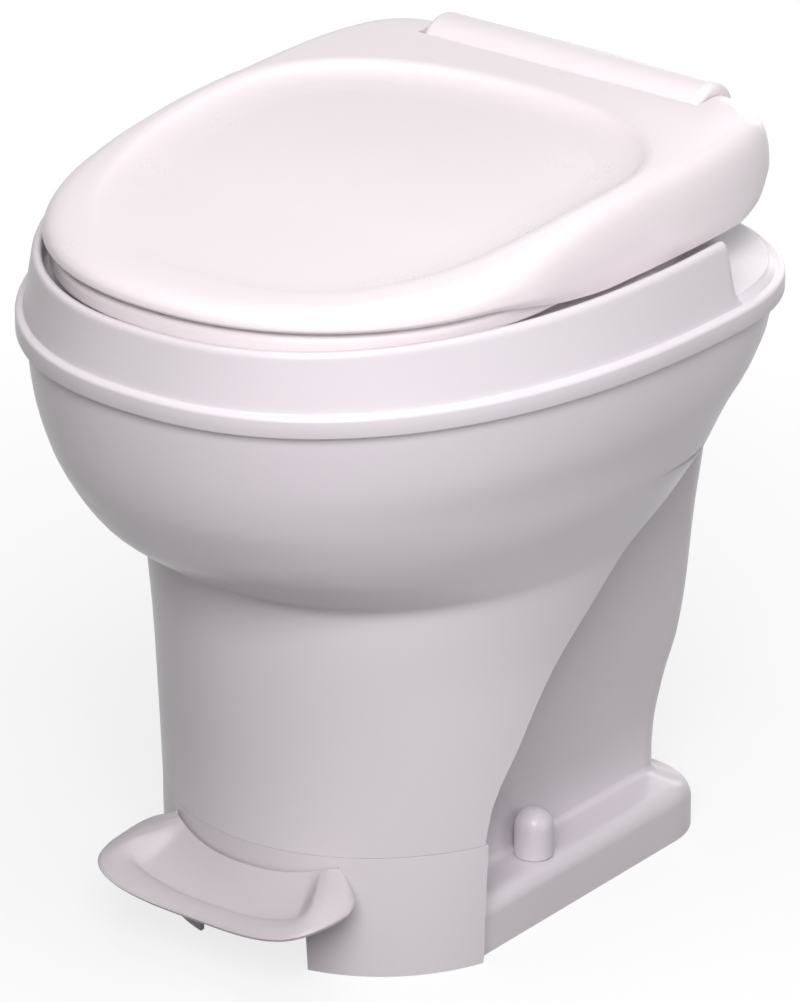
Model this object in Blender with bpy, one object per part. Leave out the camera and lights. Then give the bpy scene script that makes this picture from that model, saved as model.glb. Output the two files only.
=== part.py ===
"""Foot-flush vehicle toilet: seat, lid, bowl, shells, flush ball, pedal drive and water line."""

import math

import bmesh
import bpy
import numpy as np

# Overall plan: the rim flange is the widest part
HALF_WIDTH = 0.194
RIM_FRONT = -0.2121
RIM_REAR = 0.2121
RIM_CENTRE = 0.0747
RIM_FRONT_POWER = 2.27
RIM_REAR_POWER = 2.65

# Gaps and walls
CLEARANCE = 0.0003
OVERRUN = 0.004
WALL = 0.003

# Rim collar: flange lip, raised band and the deck under the seat
LIP_BOTTOM_Z = 0.3672
LIP_TOP_Z = 0.3790
LIP_ROUND = 0.0023
LIP_INSET = 0.0048
BAND_TOP_Z = 0.4116
BAND_SLOPE = 0.0236
BAND_INSET = 0.0106
BAND_ROUND = 0.0022
BAND_THICKNESS = 0.0046
DECK_Z = 0.3995
REAR_DECK_Z = 0.3840
DECK_THICKNESS = 0.0034
NOTCH_Y = 0.0830
NOTCH_RUN = 0.0110
STEP_LEAD = 0.0400
NOTCH_DEGREES = (1.5, 2.6, 3.4, 4.2, 5.0, 6.0, 7.5)

# Mouth of the bowl
MOUTH_HALF = 0.1120
MOUTH_FRONT = -0.1500
MOUTH_REAR = 0.1180
MOUTH_CENTRE = -0.0050
MOUTH_SKIRT_Z = 0.3793
MOUTH_RIM = 0.0130

# Height of the seam between front skirt and front shell
SEAM_Z = 0.0756

# Front shell sections, from the bottom up: heights, half widths, fronts, rears and centres
SHELL_SECTIONS = (
    (SEAM_Z + CLEARANCE / 2, 0.1284, -0.1204, 0.1614, 0.0205),
    (0.1200, 0.1296, -0.1210, 0.1640, 0.0215),
    (0.1700, 0.1320, -0.1222, 0.1700, 0.0250),
    (0.2050, 0.1360, -0.1228, 0.1745, 0.0280),
    (0.2260, 0.1390, -0.1235, 0.1765, 0.0300),
    (0.2320, 0.1402, -0.1270, 0.1770, 0.0310),
    (0.2380, 0.1425, -0.1375, 0.1775, 0.0325),
    (0.2460, 0.1460, -0.1500, 0.1785, 0.0345),
    (0.2620, 0.1540, -0.1700, 0.1810, 0.0385),
    (0.2800, 0.1637, -0.1836, 0.1849, 0.0439),
    (0.3050, 0.1729, -0.1975, 0.1902, 0.0532),
    (0.3300, 0.1829, -0.2036, 0.1984, 0.0644),
    (0.3520, 0.1872, -0.2058, 0.2051, 0.0724),
    (LIP_BOTTOM_Z - CLEARANCE, 0.1882, -0.2062, 0.2066, 0.0744),
)
SHELL_Z, SHELL_HALF, SHELL_FRONT, SHELL_REAR, SHELL_CENTRE = zip(*SHELL_SECTIONS)
SHELL_LOW_POWER = 1.99
SHELL_LEVEL_SHARES = (0, 0.17, 0.35, 0.47, 0.521, 0.542, 0.568, 0.605, 0.655, 0.715, 0.79, 0.87, 0.94, 1)
SHELL_INNER_SHARES = (0, 0.35, 0.505, 0.545, 0.605, 0.69, 0.82, 1)

# Rear edge of the front shell, a sweep from the skirt seam up to the bowl
SWEEP_POINTS = (
    (0.0700, -0.0430),
    (0.0950, -0.0395),
    (0.1100, -0.0345),
    (0.1320, -0.0235),
    (0.1550, -0.0125),
    (0.1760, 0.0000),
    (0.1940, 0.0150),
    (0.2140, 0.0350),
    (0.2300, 0.0530),
    (0.2430, 0.0710),
    (0.2560, 0.0920),
    (0.2680, 0.1130),
    (0.2780, 0.1400),
    (0.2860, 0.2000),
)
SWEEP_Z, SWEEP_Y = zip(*SWEEP_POINTS)

# Front skirt
SKIRT_TOP_FRONT = -0.1204
SKIRT_TOP_HALF = 0.1284
SKIRT_FLOOR_FRONT = -0.1128
SKIRT_FLOOR_HALF = 0.1220
SKIRT_CENTRE = 0.0205
SKIRT_TOP_POWER = 1.99
SKIRT_FLOOR_POWER = 2.28
SKIRT_END_Y = -0.0400
PEDAL_OPENING_HALF = 0.0392
PEDAL_OPENING_Z = 0.0610

# Rear base: column sections from the top down, then the foot flange
COLUMN_Z = (0.2820, 0.2730, 0.2620, 0.2500, 0.2000, 0.1560, 0.1200, 0.0900, 0.0600, 0.0450)
COLUMN_HALF = (0.0990, 0.1055, 0.1060, 0.1045, 0.0955, 0.0905, 0.0860, 0.0790, 0.0750, 0.0745)
COLUMN_REAR = (0.1660, 0.1830, 0.1940, 0.2000, 0.2035, 0.2040, 0.2000, 0.1915, 0.1895, 0.1900)
COLUMN_CORNER = 0.0300
COLUMN_LAP = 0.0110
COLUMN_END_Y = 0.0800
COLUMN_FLARE = 0.0200
FLARE_GAP = 0.0015
FOOT_Z = 0.0320
FOOT_HALF = 0.1073
FOOT_REAR = 0.1990
FOOT_CORNER = 0.0450
FOOT_ROUND = 0.0100
FOOT_WALL = 0.0040
FOOT_START_Y = -0.0385
FOOT_ROUND_SHARES = (1, 0.5, 0.13, 0)
FOOT_DROP_SHARES = (0, 0.13, 0.5, 1)
FOOT_SIDE_SHARES = (0, 0.07, 0.14, 0.22, 0.31, 0.42, 0.62, 0.82)
FLARE_SHARES = (0, 0.2, 0.42, 0.66, 1)
COLUMN_SIDE_SHARES = (0.12, 0.4, 0.7)
FILLET = 0.0040

# Seat and lid plan
LID_HALF = 0.1555
LID_FRONT = -0.1942
LID_REAR = 0.2085
LID_CENTRE = -0.0300
LID_FRONT_POWER = 2.15
LID_REAR_POWER = 7
LID_WALL = 0.0030
LID_LOW_Y = (-0.2000, -0.0850, -0.0550, -0.0230, 0.0200, 0.1000, 0.1400, 0.1650, 0.1800, 0.2200)
LID_LOW_Z = (0.4210, 0.4206, 0.4165, 0.4100, 0.4055, 0.4045, 0.4045, 0.4100, 0.4175, 0.4250)
LID_TOP_Y = (-0.2000, -0.1500, -0.1200, -0.0700, -0.0300, 0.0200, 0.0750, 0.1200, 0.1600, 0.1900)
LID_TOP_Z = (0.4315, 0.4335, 0.4360, 0.4413, 0.4470, 0.4515, 0.4530, 0.4532, 0.4534, 0.4545)
DISH_Y = (-0.2000, -0.1400, -0.0800, 0.0200, 0.1000, 0.1600)
DISH_DEPTH = (0.0010, 0.0018, 0.0035, 0.0070, 0.0090, 0.0095)
LID_SIDE_INSET = (0.0012, 0.0000, 0.0006, 0.0030, 0.0075, 0.0135, 0.0200)
LID_SIDE_RISE_SHARES = (0.0, 0.16, 0.40, 0.68, 0.88, 0.975, 1.0)
LID_DISH_INSET = (0.0260, 0.0320, 0.0380, 0.0450)
LID_DISH_DROP_SHARES = (0.04, 0.38, 0.86, 1.0)
LID_MIDDLE_SHARES = (0.72, 0.42, 0.14)
SEAT_HALF = 0.1500
SEAT_FRONT = -0.1926
SEAT_REAR = 0.1560
SEAT_CENTRE = -0.0300
SEAT_REAR_POWER = 2.8
SEAT_HOLE_HALF = 0.1000
SEAT_HOLE_FRONT = -0.1300
SEAT_HOLE_REAR = 0.0850
SEAT_HOLE_CENTRE = -0.0300
SEAT_BOTTOM_Z = 0.4065
SEAT_TOP_Z = 0.4190
SEAT_RIM_SHARES = (0.10, 0.0, 0.015, 0.10, 0.40, 0.80, 0.96, 1.0, 0.93)
SEAT_HEIGHT_SHARES = (0.0, 0.18, 0.70, 0.96, 1.0, 0.80, 0.52, 0.25, 0.0)

# Seat hinge
HINGE_Y = 0.1905
HINGE_Z = 0.4400
COVER_RADIUS = 0.0215
COVER_WALL = 0.0026
COVER_HALF = 0.0985
COVER_END_LENGTHS = (0.0000, 0.0018, 0.0060, 0.0140)
COVER_END_DROPS = (0.0032, 0.0014, 0.0004, 0.0000)
COVER_SPAN_DEG = 118
COVER_GAP = 0.0012
PIN_RADIUS = 0.0040
PIN_INNER_X = 0.0810
PIN_OUTER_X = 0.1175
BRACKET_INNER_X = 0.0840
BRACKET_OUTER_X = 0.0940
BRACKET_HUB_RADIUS = 0.0100
BRACKET_FRONT_Y = 0.1740
BRACKET_REAR_Y = 0.2010
BRACKET_FOOT = 0.0040
BRACKET_FOOT_INNER_X = 0.0640
EAR_WALL_X = 0.1002
EAR_WALL = 0.0026
EAR_RADIUS = 0.0105
EAR_TOP = 0.0113
SEAT_HUB_X = 0.1036
SEAT_HUB_LENGTH = 0.0100
SEAT_HUB_RADIUS = 0.0068
LID_HUB_X = 0.1146
ARM_SWEEP_RADIUS = 0.0340
LID_HUB_LENGTH = 0.0052
LID_HUB_RADIUS = 0.0070
SEAT_ARM_FRONT_Y = 0.1060

# Buffers
SEAT_BUFFERS = ((0.1050, -0.1000), (0.1330, 0.0600))
BUFFER_RADIUS = 0.0070
BUFFER_WAIST = 0.0055
LID_BUFFER_X = 0.1000
LID_BUFFER_Y = -0.1000
LID_BUFFER_RADIUS = 0.0060

# Flush ball and its housing, on a vertical outlet axis
OUTLET_Y = 0.0370
BALL_Z = 0.1180
BALL_RADIUS = 0.0450
BALL_WALL = 0.0030
BALL_HALF_DEG = 46
BALL_POLE_DEG = 9
BALL_HUB_RADIUS = 0.0095
BALL_HUB_INNER_X = 0.0395
BALL_HUB_OUTER_X = 0.0460
THROAT_RADIUS = 0.0300
HOUSING_RADIUS = 0.0515
HOUSING_WALL = 0.0030
HOUSING_TOP_Z = 0.1602
HOUSING_FLANGE_RADIUS = 0.0575
HOUSING_FLANGE = 0.0035
HOUSING_CONE_Z = 0.0900
HOUSING_CONE_END_Z = 0.0690
HOUSING_END_Z = 0.0600
HOUSING_SCREW_RADIUS = 0.0550
OUTLET_RADIUS = 0.0350
DISCHARGE_FLANGE_RADIUS = 0.0490
DISCHARGE_FLANGE_Z = 0.0085
DISCHARGE_FLANGE = 0.0040
BUSHING_RADIUS = 0.0072
SHAFT_RADIUS = 0.0040
SHAFT_START_X = 0.0405
SHAFT_END_X = 0.0715
IDLER_END_X = 0.0550

# Bowl inner sections, from the throat up
BOWL_Z = (0.1620, 0.1750, 0.2000, 0.2350, 0.2750, 0.3200, 0.3600, 0.3790)
BOWL_HALF = (0.0300, 0.0350, 0.0500, 0.0690, 0.0870, 0.1020, 0.1100, 0.1135)
BOWL_FRONT = (0.0070, -0.0020, -0.0260, -0.0600, -0.0950, -0.1270, -0.1450, -0.1515)
BOWL_REAR = (0.0670, 0.0725, 0.0860, 0.1000, 0.1090, 0.1150, 0.1180, 0.1195)
BOWL_CENTRE = (0.0370, 0.0350, 0.0300, 0.0200, 0.0100, 0.0020, -0.0030, -0.0050)
BOWL_LEVEL_SHARES = (0, 0.06, 0.17, 0.31, 0.48, 0.66, 0.84, 1)
BOWL_WALL = 0.0035
BOWL_LIP_WIDTH = 0.0100
BOWL_LIP = 0.0030

# Pedal, its shaft and the drive to the ball
PIVOT_Y = -0.0450
PIVOT_Z = 0.0400
PEDAL_TRAVEL_DEG = 15
PEDAL_SKIRT_GAP = 0.0022
PEDAL_ROLL = 0.0048

# Tread edges from the front centre to the horn tip: outer x, y and z, then inner x and z
PEDAL_EDGES = (
    (0.0000, -0.1600, 0.0420, 0.0000, 0.0610),
    (0.0180, -0.1599, 0.0422, 0.0130, 0.0612),
    (0.0350, -0.1596, 0.0430, 0.0250, 0.0620),
    (0.0500, -0.1588, 0.0444, 0.0350, 0.0634),
    (0.0620, -0.1570, 0.0462, 0.0425, 0.0650),
    (0.0710, -0.1540, 0.0482, 0.0480, 0.0664),
    (0.0770, -0.1495, 0.0497, 0.0515, 0.0675),
    (0.0805, -0.1430, 0.0507, 0.0540, 0.0685),
    (0.0815, -0.1350, 0.0514, 0.0560, 0.0694),
    (0.0805, -0.1265, 0.0530, 0.0575, 0.0702),
    (0.0775, -0.1180, 0.0562, 0.0587, 0.0709),
    (0.0725, -0.1110, 0.0615, 0.0596, 0.0715),
    (0.0670, -0.1065, 0.0670, 0.0600, 0.0718),
)

# Tread profile: share of the span, share of the rise to the inner edge, share of the roll height
PEDAL_PROFILE_SHARES = (
    (0, 0, 0),
    (0.04, 0, 0.50),
    (0.12, 0, 0.88),
    (0.25, 0, 1),
    (0.38, 0.02, 0.83),
    (0.46, 0.06, 0.50),
    (0.60, 0.24, 0.20),
    (0.80, 0.62, 0),
    (0.93, 0.90, 0),
    (1, 1, 0),
    (1, 1, -0.94),
    (0.80, 0.60, -0.94),
    (0.60, 0.18, -0.94),
    (0.42, 0, -1.04),
    (0.20, 0, -1.29),
    (0.07, 0, -0.94),
    (0.015, 0, -0.42),
)
PEDAL_ARM_HALF = 0.0330
PEDAL_ARM_TOP_Z = 0.0540
PEDAL_ARM_BOTTOM_Z = 0.0380
PEDAL_ARM_THICKNESS = 0.0060
PEDAL_ARM_FRONT_Y = -0.1300
PEDAL_HUB_RADIUS = 0.0110
PEDAL_SHAFT_RADIUS = 0.0050
PEDAL_SHAFT_LEFT_X = -0.0690
PEDAL_SHAFT_RIGHT_X = 0.0725
BEARING_INNER_X = 0.0450
BEARING_OUTER_X = 0.0520
BEARING_HUB_RADIUS = 0.0100
BEARING_FOOT_HALF = 0.0170
BEARING_FOOT = 0.0040
GEAR_INNER_X = 0.0620
GEAR_OUTER_X = 0.0690
GEAR_RATIO = 6
PINION_TEETH = 12
SECTOR_TEETH = 7
TOOTH_PRESSURE_DEG = 20
TOOTH_TOP_SHARE = 0.72
TOOTH_ROOT_SHARE = 0.98
TOOTH_THIN_SHARE = 0.86
TOOTH_FLANK_SHARES = (0.02, 0.35, 0.7, 1)
SECTOR_HUB_RADIUS = 0.0110
SECTOR_RIM = 0.0085
SECTOR_WEB_DEG = 40
CAM_INNER_X = 0.0570
CAM_OUTER_X = 0.0650
CAM_REACH = 0.0360
CAM_TIP_RADIUS = 0.0045
CAM_HUB_RADIUS = 0.0100
SPRING_X = 0.0345
SPRING_LENGTH = 0.0095
SPRING_RADIUS = 0.0078
SPRING_WIRE = 0.0009
SPRING_TURNS = 4
SPRING_TURN_STEPS = 10

# Mechanism plate
PLATE_BOTTOM_Z = 0.0012
PLATE_THICKNESS = 0.0040
PLATE_HALF = 0.0710
PLATE_FRONT_Y = -0.0640
PLATE_REAR_Y = 0.1700
PLATE_CORNER = 0.0120
PLATE_HOLE_RADIUS = 0.0520

# Water line
VALVE_X = -0.0610
VALVE_Y = -0.0090
VALVE_BOTTOM_Z = 0.0600
VALVE_TOP_Z = 0.0980
VALVE_HALF_X = 0.0095
VALVE_HALF_Y = 0.0130
VALVE_EDGE = 0.0020
PLUNGER_RADIUS = 0.0034
PLUNGER_HEAD_RADIUS = 0.0050
PLUNGER_HEAD = 0.0022
PLUNGER_TOP_Z = 0.0760
INLET_X = -0.0300
INLET_Z = 0.1780
INLET_RADIUS = 0.0085
INLET_HEX_RADIUS = 0.0130
INLET_FLANGE = 0.0030
INLET_NUT = 0.0060
INLET_TAIL = 0.0080
TUBE_RADIUS = 0.0048
TUBE_BORE = 0.0033
BARB_RADIUS = 0.0027
BARB_LENGTH = 0.0090
BREAKER_Y = 0.1560
BREAKER_BOTTOM_Z = 0.2950
BREAKER_TOP_Z = 0.3450
BREAKER_RADIUS = 0.0130
NOZZLE_Z = 0.3560
NOZZLE_RADIUS = 0.0060
NOZZLE_BARB = 0.0063

# Closet bolts, nuts and caps on the foot
BOLT_X = 0.0900
BOLT_Y = 0.0370
BOLT_RADIUS = 0.0030
BOLT_TOP_Z = 0.0560
BOLT_HEAD_RADIUS = 0.0085
BOLT_HEAD = 0.0025
WASHER_RADIUS = 0.0095
WASHER = 0.0016
NUT_RADIUS = 0.0065
NUT = 0.0055
CAP_RADIUS = 0.0115
CAP_HEIGHT = 0.0295
CAP_WALL = 0.0017
CAP_POLE_DEG = 80

# Screws
SCREW_RADIUS = 0.0016
SCREW_HEAD_RADIUS = 0.0029
SCREW_HEAD = 0.0020
SCREW_LENGTH = 0.0085

# Mesh counts and extra outline angles
AROUND = 40
LID_CORNER_DEGREES = (49.5, 58.5, 67.5)
BARREL_STEPS = 20
HOUSING_STEPS = 24
TUBE_STEPS = 14
ROUND_STEPS = 18
SMALL_STEPS = 10


def clear_scene():
    """Take every object out of the scene."""
    for item in list(bpy.data.objects):
        bpy.data.objects.remove(item, do_unlink=True)


def make_material(name, colour, roughness, metallic=0.0):
    """A plain surface for one kind of part."""
    made = bpy.data.materials.new(name)
    made.use_nodes = True
    surface = made.node_tree.nodes["Principled BSDF"]
    surface.inputs["Base Color"].default_value = (*colour, 1.0)
    surface.inputs["Roughness"].default_value = roughness
    surface.inputs["Metallic"].default_value = metallic
    return made


def build_materials():
    """All surfaces by kind."""
    kinds = {
        "shell_plastic": ((0.80, 0.78, 0.79), 0.28, 0.0),
        "lid_plastic": ((0.84, 0.81, 0.82), 0.26, 0.0),
        "bowl_plastic": ((0.82, 0.81, 0.80), 0.20, 0.0),
        "inner_plastic": ((0.72, 0.72, 0.71), 0.45, 0.0),
        "dark_plastic": ((0.10, 0.10, 0.11), 0.50, 0.0),
        "rubber": ((0.05, 0.05, 0.05), 0.75, 0.0),
        "steel": ((0.62, 0.62, 0.63), 0.32, 1.0),
        "brass": ((0.70, 0.52, 0.25), 0.35, 1.0),
        "hose": ((0.88, 0.88, 0.86), 0.40, 0.0),
    }
    return {name: make_material(name, *values) for name, values in kinds.items()}


def smooth(value, levels, values):
    """Monotone smooth curve through a table."""
    x = np.asarray(levels, float)
    y = np.asarray(values, float)
    if x[0] > x[-1]:
        x = x[::-1]
        y = y[::-1]
    step = np.diff(x)
    rise = np.diff(y) / step
    slope = np.zeros(len(x))
    same = rise[:-1] * rise[1:] > 0
    mean = 2 * rise[:-1] * rise[1:] / np.where(same, rise[:-1] + rise[1:], 1)
    slope[1:-1] = np.where(same, mean, 0)
    slope[0] = rise[0]
    slope[-1] = rise[-1]
    at = np.clip(np.asarray(value, float), x[0], x[-1])
    k = np.clip(np.searchsorted(x, at, side="right") - 1, 0, len(step) - 1)
    u = (at - x[k]) / step[k]
    keep = (1 + 2 * u) * (1 - u) ** 2 * y[k] + u * u * (3 - 2 * u) * y[k + 1]
    turn = u * (1 - u) ** 2 * slope[k] - u * u * (1 - u) * slope[k + 1]
    return keep + turn * step[k]


def ease(share):
    """Smooth step from nought to one."""
    held = np.clip(share, 0, 1)
    return held * held * (3 - 2 * held)


def turns(count, extra_degrees=()):
    """Angles round a plan outline from the front centre, mirrored left to right."""
    base = [-90 + 360 * k / count for k in range(count)]
    right = sorted(set(base) | set(extra_degrees) | {180 - degrees for degrees in extra_degrees})
    return np.radians(np.array(right))


def egg(half, front, rear, centre, front_power, rear_power, angles):
    """Plan outline with one roundness in front of its centre and another behind."""
    cosine = np.abs(np.cos(angles))
    sine = np.sin(angles)
    power = np.where(sine < 0, front_power, rear_power)
    depth = np.where(sine < 0, centre - front, rear - centre)
    reach = ((cosine / half) ** power + (np.abs(sine) / depth) ** power) ** (-1 / power)
    return np.stack([reach * np.cos(angles), centre + reach * sine], axis=1)


def at_height(plan, height):
    """Lift a plan outline to a height, one number or one for each point."""
    return np.column_stack([plan, np.broadcast_to(height, len(plan))])


def grid_faces(ring_count, point_count, round_ring, round_rings):
    """Quads between neighbouring rings."""
    faces = []
    last_ring = ring_count if round_rings else ring_count - 1
    last_point = point_count if round_ring else point_count - 1
    for ring in range(last_ring):
        following = (ring + 1) % ring_count
        for point in range(last_point):
            beside = (point + 1) % point_count
            faces.append(
                (
                    ring * point_count + point,
                    ring * point_count + beside,
                    following * point_count + beside,
                    following * point_count + point,
                )
            )
    return faces


def node_from(name, points, faces, material):
    """One closed body facing out, with long flat faces split in triangles."""
    mesh = bpy.data.meshes.new(name)
    mesh.from_pydata([tuple(map(float, point)) for point in points], [], faces)
    made = bpy.data.objects.new(name, mesh)
    bpy.context.scene.collection.objects.link(made)
    work = bmesh.new()
    work.from_mesh(mesh)
    wide = [face for face in work.faces if len(face.verts) > 4]
    bmesh.ops.triangulate(work, faces=wide)
    bmesh.ops.recalc_face_normals(work, faces=work.faces)
    if work.calc_volume(signed=True) < 0:
        bmesh.ops.reverse_faces(work, faces=work.faces)
    work.to_mesh(mesh)
    work.free()
    mesh.materials.append(material)
    mesh.shade_smooth()
    mesh.set_sharp_from_angle(angle=math.radians(38))
    return made


def loft(name, rings, material, round_ring=True, round_rings=False):
    """Body through a row of rings; open sides are closed with flat faces."""
    points = np.concatenate(rings)
    count = len(rings[0])
    faces = grid_faces(len(rings), count, round_ring, round_rings)
    if round_ring and not round_rings:
        faces.append(tuple(range(count)))
        faces.append(tuple(range(len(points) - count, len(points))))
    if round_rings and not round_ring:
        faces.append(tuple(range(0, len(points), count)))
        faces.append(tuple(range(count - 1, len(points), count)))
    return node_from(name, points, faces, material)


def ladder_loft(name, outer, inner, material):
    """Open channel through matched outer and inner rings, its two ends closed rung by rung."""
    rings = outer + inner[::-1]
    count = len(outer[0])
    total = len(rings)
    faces = grid_faces(total, count, False, True)
    for end in (0, count - 1):
        for ring in range(len(outer) - 1):
            low = ring * count + end
            high = (total - 1 - ring) * count + end
            faces.append((low, low + count, high - count, high))
    return node_from(name, np.concatenate(rings), faces, material)


def revolve(name, profile, centre, axis, material, hollow=False, steps=ROUND_STEPS):
    """Turn a radius and height profile about an axis through the centre point."""
    angles = np.arange(steps) * 2 * math.pi / steps
    rings = []
    for radius, height in profile:
        across = radius * np.cos(angles)
        other = radius * np.sin(angles)
        along = np.full(steps, float(height))
        order = {"X": (along, across, other), "Y": (other, along, across), "Z": (across, other, along)}
        rings.append(np.column_stack(order[axis]) + np.asarray(centre, float))
    return loft(name, rings, material, round_rings=hollow)


def prism(name, outline, axis, start, end, material):
    """Push a flat outline along an axis; outline pairs are (y, z), (x, z) or (x, y)."""
    flat = np.asarray(outline, float)
    rings = []
    for level in (start, end):
        along = np.full(len(flat), float(level))
        columns = {
            "X": (along, flat[:, 0], flat[:, 1]),
            "Y": (flat[:, 0], along, flat[:, 1]),
            "Z": (flat[:, 0], flat[:, 1], along),
        }
        rings.append(np.column_stack(columns[axis]))
    return loft(name, rings, material)


def arc(centre, radius, start_degrees, end_degrees, steps):
    """Points along a circular arc in a plane."""
    angles = np.radians(np.linspace(start_degrees, end_degrees, steps + 1))
    return [(centre[0] + radius * math.cos(a), centre[1] + radius * math.sin(a)) for a in angles]


def rounded_box(centre, half_across, half_up, corner, steps=3):
    """Flat rectangle outline with rounded corners."""
    across = half_across - corner
    up = half_up - corner
    outline = []
    for quarter, (side, level) in enumerate(((1, 1), (-1, 1), (-1, -1), (1, -1))):
        middle = (centre[0] + side * across, centre[1] + level * up)
        outline += arc(middle, corner, quarter * 90, quarter * 90 + 90, steps)
    return outline


def hexagon(centre, radius, turn=0):
    """Six-sided outline."""
    return arc(centre, radius, turn, turn + 300, 5)


def combine(target, tools, operation):
    """Cut or join helper solids with exact Booleans; the helpers stay hidden."""
    for tool in tools:
        tool.hide_render = True
        tool.display_type = "WIRE"
        step = target.modifiers.new(tool.name, "BOOLEAN")
        step.operation = operation
        step.solver = "EXACT"
        step.object = tool
    return target


def cut(target, *tools):
    return combine(target, tools, "DIFFERENCE")


def join(target, *tools):
    return combine(target, tools, "UNION")


def pivot_at(target, point):
    """Put the origin of a moving piece on its joint axis."""
    shift = np.asarray(point, float)
    flat = np.empty(len(target.data.vertices) * 3)
    target.data.vertices.foreach_get("co", flat)
    moved = flat.reshape(-1, 3) - shift
    target.data.vertices.foreach_set("co", moved.ravel())
    target.data.update()
    target.location = tuple(shift)
    return target


def rod(name, axis, centre, radius, start, end, material, steps=SMALL_STEPS):
    """Plain round bar."""
    return revolve(name, ((radius, start), (radius, end)), centre, axis, material, steps=steps)


def swept_tube(name, route, radius, bore, material, sides=6):
    """Hollow hose along a smoothed route of points."""
    knots = np.asarray(route, float)
    length = np.concatenate([[0], np.cumsum(np.linalg.norm(np.diff(knots, axis=0), axis=1))])
    travel = np.linspace(0, length[-1], TUBE_STEPS)
    path = np.column_stack([smooth(travel, length, knots[:, k]) for k in range(3)])
    ahead = np.gradient(path, axis=0)
    ahead /= np.linalg.norm(ahead, axis=1)[:, None]
    side = np.cross(ahead[0], (0, 0, 1) if abs(ahead[0][2]) < 0.9 else (0, 1, 0))
    angles = np.arange(sides) * 2 * math.pi / sides
    outer = []
    inner = []
    for point, forward in zip(path, ahead):
        side = side - forward * (side @ forward)
        side = side / np.linalg.norm(side)
        up = np.cross(forward, side)
        circle = np.outer(np.cos(angles), side) + np.outer(np.sin(angles), up)
        outer.append(point + radius * circle)
        inner.append(point + bore * circle)
    return loft(name, outer + inner[::-1], material, round_rings=True)


def screw(name, head_point, material):
    """Pan-head screw pointing down, its head seated at the given point."""
    profile = (
        (SCREW_RADIUS, -SCREW_LENGTH),
        (SCREW_RADIUS, 0),
        (SCREW_HEAD_RADIUS, 0),
        (SCREW_HEAD_RADIUS, SCREW_HEAD / 2),
        (SCREW_HEAD_RADIUS / 2, SCREW_HEAD),
    )
    return revolve(name, profile, head_point, "Z", material, steps=SMALL_STEPS)


def rim_plan(inset, angles):
    """Rim flange outline moved inwards."""
    half = HALF_WIDTH - inset
    front = RIM_FRONT + inset
    rear = RIM_REAR - inset
    return egg(half, front, rear, RIM_CENTRE, RIM_FRONT_POWER, RIM_REAR_POWER, angles)


def mouth_plan(grow, angles):
    """Bowl mouth outline moved outwards."""
    half = MOUTH_HALF + grow
    front = MOUTH_FRONT - grow
    rear = MOUTH_REAR + grow
    return egg(half, front, rear, MOUTH_CENTRE, 2, 2, angles)


def notched(plan, height, floor):
    """Height that falls to the low rear deck behind the notch."""
    share = 1 - ease((plan[:, 1] - NOTCH_Y) / NOTCH_RUN)
    return floor + (height - floor) * share


def build_collar(kinds):
    """Flange lip, raised band cut away at the rear, and the deck with the bowl mouth."""
    angles = turns(AROUND, NOTCH_DEGREES)
    rings = []
    for inset, height in (
        (0, LIP_BOTTOM_Z),
        (0, LIP_TOP_Z - 2 * LIP_ROUND),
        (LIP_ROUND / 2, LIP_TOP_Z - LIP_ROUND / 2),
        (LIP_ROUND, LIP_TOP_Z),
    ):
        rings.append(at_height(rim_plan(inset, angles), height))
    plan = rim_plan(LIP_INSET, angles)
    rings.append(at_height(plan, notched(plan, LIP_TOP_Z + LIP_ROUND, LIP_TOP_Z)))
    for inset, drop in (
        (BAND_INSET - BAND_ROUND / 2, 2 * BAND_ROUND),
        (BAND_INSET, BAND_ROUND / 2),
        (BAND_INSET + BAND_ROUND / 2, 0),
        (BAND_INSET + BAND_THICKNESS - BAND_ROUND / 2, 0),
        (BAND_INSET + BAND_THICKNESS, BAND_ROUND),
    ):
        plan = rim_plan(inset, angles)
        top = BAND_TOP_Z - drop + BAND_SLOPE * (plan[:, 1] - RIM_FRONT)
        rings.append(at_height(plan, notched(plan, top, REAR_DECK_Z)))
    foot = rim_plan(BAND_INSET + BAND_THICKNESS + BAND_ROUND / 2, angles)
    rings.append(at_height(foot, notched(foot, DECK_Z, REAR_DECK_Z)))
    step = mouth_plan(MOUTH_RIM + WALL, angles)
    early = (0, STEP_LEAD)
    rings.append(at_height(step, notched(step + early, DECK_Z, REAR_DECK_Z)))
    rings.append(at_height(mouth_plan(MOUTH_RIM, angles), DECK_Z))
    rings.append(at_height(mouth_plan(0, angles), DECK_Z))
    rings.append(at_height(mouth_plan(0, angles), MOUTH_SKIRT_Z))
    rings.append(at_height(mouth_plan(WALL, angles), MOUTH_SKIRT_Z))
    rings.append(at_height(mouth_plan(WALL, angles), DECK_Z - DECK_THICKNESS))
    rings.append(at_height(mouth_plan(MOUTH_RIM - WALL, angles), DECK_Z - DECK_THICKNESS))
    step = mouth_plan(MOUTH_RIM, angles)
    rings.append(at_height(step, notched(step + early, DECK_Z, REAR_DECK_Z) - DECK_THICKNESS))
    under = rim_plan(BAND_INSET + BAND_THICKNESS, angles)
    rings.append(at_height(under, notched(under, DECK_Z, REAR_DECK_Z) - DECK_THICKNESS))
    plan = rim_plan(LIP_INSET + WALL, angles)
    rings.append(at_height(plan, LIP_TOP_Z - LIP_ROUND))
    rings.append(at_height(rim_plan(LIP_INSET + WALL, angles), LIP_BOTTOM_Z))
    collar = loft("rim_collar", rings, kinds["shell_plastic"], round_rings=True)
    holes = []
    for side in (-1, 1):
        centre = (side * bracket_screw_x(), bracket_screw_y(), REAR_DECK_Z)
        bore = SCREW_RADIUS + CLEARANCE
        holes.append(rod("collar_hole", "Z", centre, bore, -3 * OVERRUN, OVERRUN, kinds["steel"]))
    return cut(collar, *holes)


def bracket_screw_x():
    return (BRACKET_FOOT_INNER_X + BRACKET_INNER_X) / 2


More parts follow.
